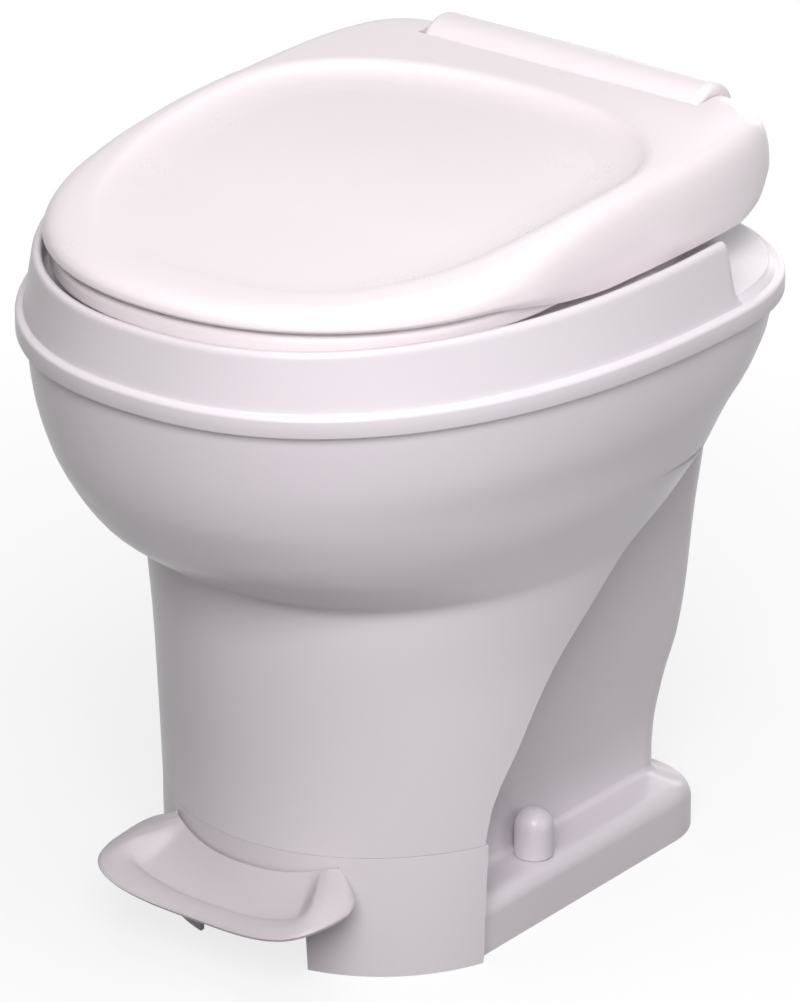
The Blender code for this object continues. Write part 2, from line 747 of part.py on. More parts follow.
def bracket_screw_y():
    return (BRACKET_FRONT_Y + BRACKET_REAR_Y) / 2


def shell_plan(height, inset, angles):
    """Front shell outline at a height, moved inwards."""
    half = smooth(height, SHELL_Z, SHELL_HALF) - inset
    front = smooth(height, SHELL_Z, SHELL_FRONT) + inset
    rear = smooth(height, SHELL_Z, SHELL_REAR) - inset
    centre = smooth(height, SHELL_Z, SHELL_CENTRE)
    share = (height - SHELL_Z[0]) / (SHELL_Z[-1] - SHELL_Z[0])
    front_power = SHELL_LOW_POWER + (RIM_FRONT_POWER - SHELL_LOW_POWER) * share
    rear_power = SHELL_LOW_POWER + (RIM_REAR_POWER - SHELL_LOW_POWER) * share
    return egg(half, front, rear, centre, front_power, rear_power, angles)


def sweep_y(height):
    return smooth(height, SWEEP_Z, SWEEP_Y)


def build_shell(kinds):
    """Bowl shroud and leg in one skin, cut behind the sweeping edge."""
    angles = turns(AROUND)
    bottom = SHELL_Z[0]
    span = SHELL_Z[-1] - bottom
    rings = []
    for share in SHELL_LEVEL_SHARES:
        rings.append(at_height(shell_plan(bottom + share * span, 0, angles), bottom + share * span))
    for share in reversed(SHELL_INNER_SHARES):
        rings.append(at_height(shell_plan(bottom + share * span, WALL, angles), bottom + share * span))
    shell = loft("front_shell", rings, kinds["shell_plastic"], round_rings=True)
    levels = np.linspace(SWEEP_Z[0] - OVERRUN, SWEEP_Z[-1], 22)
    outline = [(float(sweep_y(level)), float(level)) for level in levels]
    outline.append((RIM_REAR + OVERRUN, SWEEP_Z[-1]))
    outline.append((RIM_REAR + OVERRUN, SWEEP_Z[0] - OVERRUN))
    reach = HALF_WIDTH + OVERRUN
    cutter = prism("shell_sweep_cut", outline, "X", -reach, reach, kinds["shell_plastic"])
    return cut(shell, cutter)


def skirt_plan(height, inset, angles):
    """Skirt outline at a height, moved inwards."""
    share = height / SEAM_Z
    half = SKIRT_FLOOR_HALF + (SKIRT_TOP_HALF - SKIRT_FLOOR_HALF) * share - inset
    front = SKIRT_FLOOR_FRONT + (SKIRT_TOP_FRONT - SKIRT_FLOOR_FRONT) * share + inset
    power = SKIRT_FLOOR_POWER + (SKIRT_TOP_POWER - SKIRT_FLOOR_POWER) * share
    rear = 2 * SKIRT_CENTRE - front
    return egg(half, front, rear, SKIRT_CENTRE, power, power, angles)


def build_skirt(kinds):
    """Low front skirt with the pedal opening."""
    angles = turns(AROUND)
    top = SEAM_Z - CLEARANCE / 2
    levels = (0, top / 3, 2 * top / 3, top)
    rings = [at_height(skirt_plan(level, 0, angles), level) for level in levels]
    rings += [at_height(skirt_plan(level, WALL, angles), level) for level in reversed(levels)]
    skirt = loft("front_skirt", rings, kinds["shell_plastic"], round_rings=True)
    wide = SKIRT_TOP_HALF + OVERRUN
    behind = ((-wide, SKIRT_END_Y), (wide, SKIRT_END_Y), (wide, RIM_REAR), (-wide, RIM_REAR))
    back_cut = prism("skirt_back_cut", behind, "Z", -OVERRUN, SEAM_Z + OVERRUN, kinds["shell_plastic"])
    opening = []
    opening += [(-PEDAL_OPENING_HALF, -OVERRUN), (PEDAL_OPENING_HALF, -OVERRUN)]
    corner = 2 * OVERRUN
    opening += arc((PEDAL_OPENING_HALF - corner, PEDAL_OPENING_Z - corner), corner, 0, 90, 4)
    opening += arc((corner - PEDAL_OPENING_HALF, PEDAL_OPENING_Z - corner), corner, 90, 180, 4)
    front_cut = prism("skirt_pedal_cut", opening, "Y", RIM_FRONT, SKIRT_END_Y, kinds["shell_plastic"])
    return cut(skirt, back_cut, front_cut)


def column_path(half, rear, corner, end_y, flare_x):
    """Open outline of the column: right flare, right side, round rear, left side, left flare."""
    flare_start = end_y + COLUMN_FLARE
    right = []
    for share in FLARE_SHARES:
        right.append((flare_x + (half - flare_x) * float(ease(share)), end_y + COLUMN_FLARE * share))
    for share in COLUMN_SIDE_SHARES:
        right.append((half, flare_start + share * (rear - corner - flare_start)))
    right += arc((half - corner, rear - corner), corner, 0, 90, 6)
    left = [(-x, y) for x, y in reversed(right)]
    return np.array(right + left)


def foot_path(inset):
    """Open outline of the foot with the same number of points as the column."""
    side = FOOT_HALF - inset
    back = FOOT_REAR - inset
    bend = FOOT_CORNER - inset
    right = [(side, FOOT_START_Y + share * (back - bend - FOOT_START_Y)) for share in FOOT_SIDE_SHARES]
    right += arc((side - bend, back - bend), bend, 0, 90, 6)
    left = [(-x, y) for x, y in reversed(right)]
    return np.array(right + left)


def moved_in(path, inset):
    """Open outline moved inwards along its normals."""
    ahead = np.gradient(path, axis=0)
    ahead /= np.linalg.norm(ahead, axis=1)[:, None]
    return path + inset * np.column_stack([-ahead[:, 1], ahead[:, 0]])


def column_plan(height):
    """Column outline at a height, its front ends just inside the shell."""
    level = max(height, SHELL_Z[0])
    half = float(smooth(height, COLUMN_Z, COLUMN_HALF))
    rear = float(smooth(height, COLUMN_Z, COLUMN_REAR))
    end_y = min(float(sweep_y(level)) - COLUMN_LAP, COLUMN_END_Y)
    plan = shell_plan(level, 2 * WALL + FLARE_GAP, np.radians(np.linspace(-60, 60, 61)))
    flare_x = max(float(np.interp(end_y, plan[:, 1], plan[:, 0])), half)
    return column_path(half, rear, COLUMN_CORNER, end_y, flare_x)


def build_rear_base(kinds):
    """Hollow column with a swept-out foot flange, one moulding."""
    levels = [float(level) for level in COLUMN_Z]
    low = column_plan(COLUMN_Z[-1])
    outer = [at_height(column_plan(level), level) for level in levels]
    inner = [at_height(moved_in(column_plan(level), WALL), level) for level in levels]
    outer.append(at_height(moved_in(low, -FILLET / 4), FOOT_Z + FILLET / 4))
    inner.append(at_height(moved_in(low, WALL), FOOT_Z))
    outer.append(at_height(moved_in(low, -FILLET * 3 / 4), FOOT_Z))
    inner.append(at_height(moved_in(low, WALL), FOOT_Z - FOOT_WALL))
    for inset, drop in zip(FOOT_ROUND_SHARES, FOOT_DROP_SHARES):
        edge = inset * FOOT_ROUND
        outer.append(at_height(foot_path(edge), FOOT_Z - drop * FOOT_ROUND))
        under = FOOT_Z - FOOT_WALL - drop * (FOOT_ROUND - FOOT_WALL)
        inner.append(at_height(foot_path(edge + FOOT_WALL), under))
    outer.append(at_height(foot_path(0), 0))
    inner.append(at_height(foot_path(FOOT_WALL), 0))
    base = ladder_loft("rear_base", outer, inner, kinds["shell_plastic"])
    holes = []
    for side in (-1, 1):
        centre = (side * BOLT_X, BOLT_Y, 0)
        radius = BOLT_RADIUS + CLEARANCE
        holes.append(rod("foot_bolt_hole", "Z", centre, radius, -OVERRUN, FOOT_Z + OVERRUN, kinds["steel"]))
    start = inlet_wall_y() - 4 * WALL
    end = inlet_wall_y() + 4 * WALL
    bore = INLET_RADIUS + CLEARANCE
    centre = (INLET_X, 0, INLET_Z)
    holes.append(rod("inlet_hole", "Y", centre, bore, start, end, kinds["steel"], BARREL_STEPS))
    return cut(base, *holes)


def inlet_wall_y():
    return float(smooth(INLET_Z, COLUMN_Z, COLUMN_REAR))


def lid_plan(inset, angles):
    half = LID_HALF - inset
    front = LID_FRONT + inset
    rear = LID_REAR - inset
    return egg(half, front, rear, LID_CENTRE, LID_FRONT_POWER, LID_REAR_POWER, angles)


def lid_rings(angles, thickness, stride):
    """Rings from the lower edge over the rounded side into the dished panel."""
    rings = []
    for inset, rise in list(zip(LID_SIDE_INSET, LID_SIDE_RISE_SHARES))[::stride]:
        plan = lid_plan(inset + thickness, angles)
        low = smooth(plan[:, 1], LID_LOW_Y, LID_LOW_Z)
        top = smooth(plan[:, 1], LID_TOP_Y, LID_TOP_Z) - thickness
        rings.append(at_height(plan, low + rise * (top - low)))
    for inset, share in list(zip(LID_DISH_INSET, LID_DISH_DROP_SHARES))[:: stride * 2 - 1]:
        plan = lid_plan(inset + thickness / 3, angles)
        top = smooth(plan[:, 1], LID_TOP_Y, LID_TOP_Z) - thickness
        rings.append(at_height(plan, top - share * smooth(plan[:, 1], DISH_Y, DISH_DEPTH)))
    edge = lid_plan(LID_DISH_INSET[-1], angles)
    middle = edge.mean(axis=0)
    for share in LID_MIDDLE_SHARES:
        plan = middle + share * (edge - middle)
        top = smooth(plan[:, 1], LID_TOP_Y, LID_TOP_Z) - thickness
        rings.append(at_height(plan, top - smooth(plan[:, 1], DISH_Y, DISH_DEPTH)))
    return rings


def hinge_centre(x=0):
    return (x, HINGE_Y, HINGE_Z)


def build_lid(kinds):
    """Domed shell with a dished panel, cut round the hinge cover, with hinge walls in both ears."""
    angles = turns(AROUND, LID_CORNER_DEGREES)
    outer = lid_rings(angles, 0, 1)
    inner = lid_rings(angles, LID_WALL, 2)
    count = len(angles)
    rings = outer[::-1] + inner
    points = np.concatenate(rings)
    faces = grid_faces(len(rings), count, True, False)
    faces.append(tuple(range(count)))
    faces.append(tuple(range(len(points) - count, len(points))))
    lid = node_from("lid", points, faces, kinds["lid_plastic"])
    plastic = kinds["lid_plastic"]
    radius = COVER_RADIUS + COVER_GAP
    swath = arc((HINGE_Y, HINGE_Z), radius, 90, 200, 14)
    below = SEAT_BOTTOM_Z - 2 * OVERRUN
    swath += [(HINGE_Y - radius, below), (RIM_REAR + OVERRUN, below), (RIM_REAR + OVERRUN, HINGE_Z + radius)]
    cut(lid, prism("lid_cover_cut", swath, "X", -EAR_WALL_X, EAR_WALL_X, plastic))
    top = HINGE_Z + EAR_TOP
    lower = top - 2 * CLEARANCE
    for side in (-1, 1):
        web = [(HINGE_Y - EAR_RADIUS, top), (HINGE_Y + EAR_RADIUS / 3, top)]
        web += arc((HINGE_Y, HINGE_Z), EAR_RADIUS, 30, -180, 10)
        start = side * (EAR_WALL_X + CLEARANCE)
        wall = prism("lid_ear_wall", web, "X", start, side * (EAR_WALL_X + EAR_WALL), plastic)
        hub = arc((HINGE_Y, HINGE_Z), LID_HUB_RADIUS, -180, 0, 8)
        hub += [(HINGE_Y + LID_HUB_RADIUS / 2, lower), (HINGE_Y - LID_HUB_RADIUS, lower)]
        hub_end = side * (LID_HUB_X + LID_HUB_LENGTH)
        join(lid, wall, prism("lid_hub", hub, "X", side * LID_HUB_X, hub_end, plastic))
    for side in (-1, 1):
        sweep = arc((HINGE_Y, HINGE_Z), ARM_SWEEP_RADIUS, -160, -18, 8)
        sweep += arc((HINGE_Y, HINGE_Z), SEAT_HUB_RADIUS + 3 * CLEARANCE, -18, 200, 12)
        inner = side * (SEAT_HUB_X - 2 * CLEARANCE)
        outer = side * (SEAT_HUB_X + SEAT_HUB_LENGTH + 2 * CLEARANCE)
        cut(lid, prism("lid_arm_cut", sweep, "X", inner, outer, plastic))
    limit = PIN_OUTER_X + 2 * CLEARANCE
    bore = PIN_RADIUS + CLEARANCE
    for side in (-1, 1):
        cut(lid, rod("lid_pin_hole", "X", hinge_centre(), bore, side * COVER_HALF, side * limit, plastic))
    return pivot_at(lid, hinge_centre())


def seat_plan(share, angles):
    """Outline between the seat's outer edge and its hole."""
    half = SEAT_HALF + share * (SEAT_HOLE_HALF - SEAT_HALF)
    front = SEAT_FRONT + share * (SEAT_HOLE_FRONT - SEAT_FRONT)
    rear = SEAT_REAR + share * (SEAT_HOLE_REAR - SEAT_REAR)
    centre = SEAT_CENTRE + share * (SEAT_HOLE_CENTRE - SEAT_CENTRE)
    rear_power = SEAT_REAR_POWER + share * (2 - SEAT_REAR_POWER)
    return egg(half, front, rear, centre, LID_FRONT_POWER, rear_power, angles)


def build_seat(kinds):
    """Rounded ring with an arm and hub on each side of the hinge cover."""
    angles = turns(AROUND)
    rings = []
    for share, rise in zip(SEAT_RIM_SHARES, SEAT_HEIGHT_SHARES):
        height = SEAT_BOTTOM_Z + rise * (SEAT_TOP_Z - SEAT_BOTTOM_Z)
        rings.append(at_height(seat_plan(share, angles), height))
    seat = loft("seat_ring", rings, kinds["lid_plastic"], round_rings=True)
    plastic = kinds["lid_plastic"]
    arms = []
    for side in (-1, 1):
        bend_y = HINGE_Y - 3 * SEAT_HUB_RADIUS
        profile = [(SEAT_ARM_FRONT_Y, SEAT_BOTTOM_Z + CLEARANCE), (bend_y, SEAT_BOTTOM_Z + CLEARANCE)]
        profile += arc((HINGE_Y, HINGE_Z), SEAT_HUB_RADIUS, -120, 150, 12)
        profile += [(bend_y, SEAT_TOP_Z - CLEARANCE), (SEAT_ARM_FRONT_Y, SEAT_TOP_Z - CLEARANCE)]
        start = side * SEAT_HUB_X
        arms.append(prism("seat_arm", profile, "X", start, start + side * SEAT_HUB_LENGTH, plastic))
    join(seat, *arms)
    reach = SEAT_HUB_X + SEAT_HUB_LENGTH + OVERRUN
    bore = rod("seat_pin_hole", "X", hinge_centre(), PIN_RADIUS + CLEARANCE, -reach, reach, plastic)
    cut(seat, bore)
    return pivot_at(seat, hinge_centre())


def build_hinge_cover(kinds):
    """Barrel cover over the brackets, round on its ends and open below."""
    plastic = kinds["lid_plastic"]
    stations = [(-COVER_HALF + length, drop) for length, drop in zip(COVER_END_LENGTHS, COVER_END_DROPS)]
    stations += [(-x, drop) for x, drop in reversed(stations)]
    rings = []
    for x, drop in stations:
        radius = COVER_RADIUS - drop
        outer = arc((HINGE_Y, HINGE_Z), radius, 90 + COVER_SPAN_DEG, 90 - COVER_SPAN_DEG, 16)
        inner = arc((HINGE_Y, HINGE_Z), radius - COVER_WALL, 90 - COVER_SPAN_DEG, 90 + COVER_SPAN_DEG, 16)
        profile = np.array(outer + inner)
        rings.append(np.column_stack([np.full(len(profile), x), profile]))
    cover = loft("hinge_cover", rings, plastic)
    ends = []
    radius = COVER_RADIUS - COVER_WALL - CLEARANCE / 2
    slot = PIN_RADIUS + 2 * CLEARANCE
    fall = 90 - COVER_SPAN_DEG
    floor = HINGE_Z - COVER_RADIUS * math.sin(math.radians(-fall))
    for side in (-1, 1):
        outline = arc((HINGE_Y, HINGE_Z), radius, fall + 5, 175 - fall, 15)
        outline += [(HINGE_Y - slot, floor)]
        outline += arc((HINGE_Y, HINGE_Z), slot, 180, 0, 8)
        outline += [(HINGE_Y + slot, floor)]
        outer_x = side * (COVER_HALF - 3 * CLEARANCE)
        ends.append(prism("cover_end", outline, "X", outer_x - side * WALL, outer_x, plastic))
    return join(cover, *ends)


def build_hinge_bracket(name, side, kinds):
    """Post with a pin hub and a screwed foot on the rear deck."""
    low = REAR_DECK_Z + CLEARANCE
    profile = [(BRACKET_FRONT_Y, low), (BRACKET_REAR_Y, low), (BRACKET_REAR_Y, low + BRACKET_FOOT)]
    profile += arc((HINGE_Y, HINGE_Z), BRACKET_HUB_RADIUS, -20, 200, 12)
    profile += [(BRACKET_FRONT_Y, low + BRACKET_FOOT)]
    inner = side * BRACKET_INNER_X
    bracket = prism(name, profile, "X", inner, side * BRACKET_OUTER_X, kinds["inner_plastic"])
    foot_plan = (
        (side * BRACKET_FOOT_INNER_X, BRACKET_FRONT_Y + CLEARANCE),
        (side * BRACKET_FOOT_INNER_X, BRACKET_REAR_Y - CLEARANCE),
        (side * (BRACKET_OUTER_X - CLEARANCE), BRACKET_REAR_Y - CLEARANCE),
        (side * (BRACKET_OUTER_X - CLEARANCE), BRACKET_FRONT_Y + CLEARANCE),
    )
    foot = prism("bracket_foot", foot_plan, "Z", low, low + BRACKET_FOOT - CLEARANCE, kinds["inner_plastic"])
    join(bracket, foot)
    steel = kinds["steel"]
    bore = PIN_RADIUS + CLEARANCE
    cut(bracket, rod("bracket_bore", "X", hinge_centre(), bore, 0, side * COVER_HALF, steel))
    centre = (side * bracket_screw_x(), bracket_screw_y(), low)
    bore = SCREW_RADIUS + CLEARANCE
    return cut(bracket, rod("bracket_screw_hole", "Z", centre, bore, -OVERRUN, 2 * OVERRUN, steel))


def build_hinge_pin(name, side, kinds):
    start = side * PIN_INNER_X
    end = side * PIN_OUTER_X
    return rod(name, "X", hinge_centre(), PIN_RADIUS, start, end, kinds["steel"], ROUND_STEPS)


def build_seat_buffer(name, x, y, kinds):
    """Soft foot under the seat."""
    low = DECK_Z + CLEARANCE
    high = SEAT_BOTTOM_Z - CLEARANCE
    profile = ((BUFFER_WAIST, low), (BUFFER_RADIUS, low + CLEARANCE * 4), (BUFFER_RADIUS, high))
    buffer = revolve(name, profile, (x, y, 0), "Z", kinds["rubber"], steps=SMALL_STEPS)
    return pivot_at(buffer, hinge_centre())


def build_lid_buffer(name, x, kinds):
    """Soft foot under the front of the lid."""
    low = SEAT_TOP_Z + CLEARANCE
    lid_under = float(smooth(LID_BUFFER_Y, LID_TOP_Y, LID_TOP_Z)) - LID_WALL
    high = lid_under - float(smooth(LID_BUFFER_Y, DISH_Y, DISH_DEPTH)) - 2 * CLEARANCE
    step = 4 * CLEARANCE
    profile = ((LID_BUFFER_RADIUS - step, low), (LID_BUFFER_RADIUS, low + step), (LID_BUFFER_RADIUS, high))
    buffer = revolve(name, profile, (x, LID_BUFFER_Y, 0), "Z", kinds["rubber"], steps=SMALL_STEPS)
    return pivot_at(buffer, hinge_centre())


def bowl_plan(height, grow, angles):
    half = smooth(height, BOWL_Z, BOWL_HALF) + grow
    front = smooth(height, BOWL_Z, BOWL_FRONT) - grow
    rear = smooth(height, BOWL_Z, BOWL_REAR) + grow
    centre = smooth(height, BOWL_Z, BOWL_CENTRE)
    return egg(half, front, rear, centre, 2, 2, angles)


def build_bowl(kinds):
    """Bowl funnel from the lip under the deck to the round throat."""
    angles = turns(AROUND * 3 // 4)
    bottom = BOWL_Z[0]
    span = BOWL_Z[-1] - bottom
    lip_top = BOWL_Z[-1]
    rings = []
    for share in BOWL_LEVEL_SHARES:
        rings.append(at_height(bowl_plan(bottom + share * span, 0, angles), bottom + share * span))
    rings.append(at_height(bowl_plan(lip_top, BOWL_LIP_WIDTH, angles), lip_top))
    rings.append(at_height(bowl_plan(lip_top, BOWL_LIP_WIDTH, angles), lip_top - BOWL_LIP))
    rings.append(at_height(bowl_plan(lip_top, BOWL_WALL, angles), lip_top - BOWL_LIP))
    for share in reversed(BOWL_LEVEL_SHARES[:-1]):
        rings.append(at_height(bowl_plan(bottom + share * span, BOWL_WALL, angles), bottom + share * span))
    bowl = loft("bowl", rings, kinds["bowl_plastic"], round_rings=True)
    start = float(smooth(NOZZLE_Z, BOWL_Z, BOWL_REAR)) - 3 * BOWL_WALL
    end = start + 6 * BOWL_WALL
    bore = NOZZLE_RADIUS + CLEARANCE
    hole = rod("bowl_nozzle_hole", "Y", (0, 0, NOZZLE_Z), bore, start, end, kinds["steel"], BARREL_STEPS)
    return cut(bowl, hole)


def outlet_centre(z=0):
    return (0, OUTLET_Y, z)


def build_ball(kinds):
    """Slice of a hollow ball that turns about a cross axis and shuts the throat."""
    plastic = kinds["inner_plastic"]
    outer = arc((0, 0), BALL_RADIUS, BALL_POLE_DEG, 180 - BALL_POLE_DEG, 12)
    inner = arc((0, 0), BALL_RADIUS - BALL_WALL, 180 - BALL_POLE_DEG, BALL_POLE_DEG, 12)
    profile = np.array(outer + inner)
    rings = []
    for degrees in np.linspace(-BALL_HALF_DEG, BALL_HALF_DEG, 8):
        lean = math.radians(degrees)
        x = profile[:, 0]
        y = profile[:, 1] * math.sin(lean)
        z = profile[:, 1] * math.cos(lean)
        rings.append(np.column_stack([x, y + OUTLET_Y, z + BALL_Z]))
    ball = loft("valve_ball", rings, plastic)
    centre = outlet_centre(BALL_Z)
    hubs = []
    holes = []
    for side in (-1, 1):
        reach = (side * BALL_HUB_INNER_X, side * BALL_HUB_OUTER_X)
        hubs.append(rod("ball_hub", "X", centre, BALL_HUB_RADIUS, *reach, plastic, ROUND_STEPS))
        reach = (side * SHAFT_START_X, side * (BALL_HUB_OUTER_X + OVERRUN))
        holes.append(rod("ball_bore", "X", centre, SHAFT_RADIUS + CLEARANCE, *reach, plastic))
    join(ball, *hubs)
    cut(ball, *holes)
    return pivot_at(ball, centre)


def sphere_rise(radius):
    """Height of the clearance sphere round the ball at a radius from the outlet axis."""
    swept = BALL_RADIUS + CLEARANCE
    return BALL_Z + math.sqrt(swept * swept - radius * radius)


def build_ball_seal(kinds):
    """Soft ring between the throat and the ball."""
    inner = THROAT_RADIUS + 2 * CLEARANCE
    middle = inner + WALL
    outer = middle + 2 * WALL
    top = BOWL_Z[0] - CLEARANCE
    floor = sphere_rise(middle) + CLEARANCE
    profile = (
        (inner, sphere_rise(inner) + CLEARANCE),
        (middle, floor),
        (outer, floor),
        (outer, top - 2 * WALL),
        (inner + WALL / 2, top - 2 * WALL),
        (inner, top - WALL),
    )
    return revolve("ball_seal", profile, outlet_centre(), "Z", kinds["rubber"], hollow=True)


def build_housing_upper(kinds):
    """Upper half of the ball housing, under the bowl throat."""
    inner = HOUSING_RADIUS - HOUSING_WALL
    hole = THROAT_RADIUS + 4 * WALL
    low = BALL_Z + CLEARANCE / 2
    top = HOUSING_TOP_Z
    profile = (
        (inner, low),
        (HOUSING_FLANGE_RADIUS, low),
        (HOUSING_FLANGE_RADIUS, low + HOUSING_FLANGE),
        (HOUSING_RADIUS, low + HOUSING_FLANGE),
        (HOUSING_RADIUS, top - WALL),
        (HOUSING_RADIUS - WALL, top),
        (hole, top),
        (hole, top - WALL),
        (inner, top - 2 * WALL),
    )
    return cut_housing(outlet_ring("valve_housing_upper", profile, kinds["dark_plastic"]), kinds)


def build_housing_lower(kinds):
    """Lower half of the ball housing with the outlet cone and spigot."""
    inner = HOUSING_RADIUS - HOUSING_WALL
    high = BALL_Z - CLEARANCE / 2
    outlet = OUTLET_RADIUS + HOUSING_WALL
    profile = (
        (inner, high),
        (inner, HOUSING_CONE_Z),
        (OUTLET_RADIUS, HOUSING_CONE_END_Z),
        (OUTLET_RADIUS, HOUSING_END_Z),
        (outlet, HOUSING_END_Z),
        (outlet, HOUSING_CONE_END_Z - WALL / 2),
        (HOUSING_RADIUS, HOUSING_CONE_Z - WALL / 2),
        (HOUSING_RADIUS, high - HOUSING_FLANGE),
        (HOUSING_FLANGE_RADIUS, high - HOUSING_FLANGE),
        (HOUSING_FLANGE_RADIUS, high),
    )
    return cut_housing(outlet_ring("valve_housing_lower", profile, kinds["dark_plastic"]), kinds)


def outlet_ring(name, profile, material):
    """Hollow round body about the outlet axis."""
    return revolve(name, profile, outlet_centre(), "Z", material, hollow=True, steps=HOUSING_STEPS)


def housing_screw_points():
    """Two screws, front and rear of the split flange."""
    return [(0, OUTLET_Y + side * HOUSING_SCREW_RADIUS) for side in (-1, 1)]


def cut_housing(housing, kinds):
    """Bushing bores across the housing and screw holes through its flange."""
    steel = kinds["steel"]
    reach = HOUSING_FLANGE_RADIUS + OVERRUN
    bore = BUSHING_RADIUS + CLEARANCE
    cut(housing, rod("bushing_bore", "X", outlet_centre(BALL_Z), bore, -reach, reach, steel, ROUND_STEPS))
    radius = SCREW_RADIUS + CLEARANCE
    low = BALL_Z - 2 * HOUSING_FLANGE
    high = BALL_Z + 2 * HOUSING_FLANGE
    for x, y in housing_screw_points():
        cut(housing, rod("housing_hole", "Z", (x, y, 0), radius, low, high, steel))
    return housing


def build_bushing(name, side, kinds):
    """Flanged sleeve in the housing wall."""
    bore = SHAFT_RADIUS + CLEARANCE
    start = side * (HOUSING_RADIUS - HOUSING_WALL + CLEARANCE)
    seat = side * (HOUSING_FLANGE_RADIUS + 2 * CLEARANCE)
    end = seat + side * WALL / 2
    flange = BUSHING_RADIUS + WALL / 2
    profile = (
        (bore, start),
        (BUSHING_RADIUS, start),
        (BUSHING_RADIUS, seat),
        (flange, seat),
        (flange, end),
        (bore, end),
    )
    return revolve(name, profile, outlet_centre(BALL_Z), "X", kinds["inner_plastic"], hollow=True)


def build_valve_shaft(kinds):
    centre = outlet_centre(BALL_Z)
    start = SHAFT_START_X + CLEARANCE
    shaft = rod("valve_shaft", "X", centre, SHAFT_RADIUS, start, SHAFT_END_X, kinds["steel"], ROUND_STEPS)
    return pivot_at(shaft, centre)


def build_idler_pin(kinds):
    centre = outlet_centre(BALL_Z)
    start = -SHAFT_START_X - CLEARANCE
    pin = rod("idler_pin", "X", centre, SHAFT_RADIUS, start, -IDLER_END_X, kinds["steel"], ROUND_STEPS)
    return pivot_at(pin, centre)


def gear_distance():
    return math.hypot(OUTLET_Y - PIVOT_Y, BALL_Z - PIVOT_Z)


def pinion_pitch():
    return gear_distance() / (GEAR_RATIO + 1)


def gear_line_degrees():
    """Lean of the line from the pedal pivot to the ball axis."""
    return math.degrees(math.atan2(BALL_Z - PIVOT_Z, OUTLET_Y - PIVOT_Y))


def tooth_points(pitch_radius, teeth, centre_degrees):
    """One involute tooth from its left root to its right root, clockwise in angle."""
    module = 2 * pinion_pitch() / PINION_TEETH
    base = pitch_radius * math.cos(math.radians(TOOTH_PRESSURE_DEG))
    top = pitch_radius + TOOTH_TOP_SHARE * module
    root = pitch_radius - TOOTH_ROOT_SHARE * module
    half = TOOTH_THIN_SHARE * math.pi / 2 / teeth

    def swing(radius):
        if radius <= base:
            return 0.0
        pressure = math.acos(base / radius)
        return math.tan(pressure) - pressure

    at_pitch = swing(pitch_radius)
    start = max(root, base)
    radii = [root] + [start + (top - start) * share for share in TOOTH_FLANK_SHARES]
    right = [(radius, half + at_pitch - swing(radius)) for radius in radii]
    points = [(radius, math.radians(centre_degrees) - lean) for radius, lean in right]
    points += [(radius, math.radians(centre_degrees) + lean) for radius, lean in reversed(right)]
    return points


def build_pinion(kinds):
    """Small gear on the ball shaft."""
    pitch = pinion_pitch()
    aim = 180 + gear_line_degrees() + 180 / PINION_TEETH
    outline = []
    for k in range(PINION_TEETH):
        for radius, angle in tooth_points(pitch, PINION_TEETH, aim + k * 360 / PINION_TEETH):
            outline.append((OUTLET_Y + radius * math.cos(angle), BALL_Z + radius * math.sin(angle)))
    pinion = prism("drive_pinion", outline, "X", GEAR_INNER_X, GEAR_OUTER_X, kinds["inner_plastic"])
    reach = (GEAR_INNER_X - OVERRUN, GEAR_OUTER_X + OVERRUN)
    centre = outlet_centre(BALL_Z)
    bore = rod("pinion_bore", "X", centre, SHAFT_RADIUS + CLEARANCE, *reach, kinds["steel"], ROUND_STEPS)
    cut(pinion, bore)
    return pivot_at(pinion, centre)


def pivot_centre(x=0):
    return (x, PIVOT_Y, PIVOT_Z)


def build_sector(kinds):
    """Toothed sector on the pedal shaft that turns the pinion."""
    pitch = GEAR_RATIO * pinion_pitch()
    count = PINION_TEETH * GEAR_RATIO
    step = 360 / count
    first = gear_line_degrees() - (SECTOR_TEETH - 2) * step
    teeth = []
    for k in range(SECTOR_TEETH):
        teeth += tooth_points(pitch, count, first + k * step)
    start = teeth[0][1] - math.radians(step / 3)
    end = teeth[-1][1] + math.radians(step / 3)
    root = teeth[0][0]
    rim = root - SECTOR_RIM
    outline = [(rim, start), (root, start)] + teeth + [(root, end), (rim, end)]
    points = [(PIVOT_Y + radius * math.cos(a), PIVOT_Z + radius * math.sin(a)) for radius, a in outline]
    hub_start = math.degrees(end) + SECTOR_WEB_DEG
    hub_end = math.degrees(start) + 360 - SECTOR_WEB_DEG
    points += arc((PIVOT_Y, PIVOT_Z), SECTOR_HUB_RADIUS, hub_start, hub_end, 12)
    sector = prism("drive_sector", points, "X", GEAR_INNER_X, GEAR_OUTER_X, kinds["inner_plastic"])
    reach = (GEAR_INNER_X - OVERRUN, GEAR_OUTER_X + OVERRUN)
    bore = PEDAL_SHAFT_RADIUS + CLEARANCE
    cut(sector, rod("sector_bore", "X", pivot_centre(), bore, *reach, kinds["steel"], ROUND_STEPS))
    return pivot_at(sector, pivot_centre())


def build_pedal_shaft(kinds):
    centre = pivot_centre()
    reach = (PEDAL_SHAFT_LEFT_X, PEDAL_SHAFT_RIGHT_X)
    shaft = rod("pedal_shaft", "X", centre, PEDAL_SHAFT_RADIUS, *reach, kinds["steel"], ROUND_STEPS)
    return pivot_at(shaft, centre)


def plate_top():
    return PLATE_BOTTOM_Z + PLATE_THICKNESS


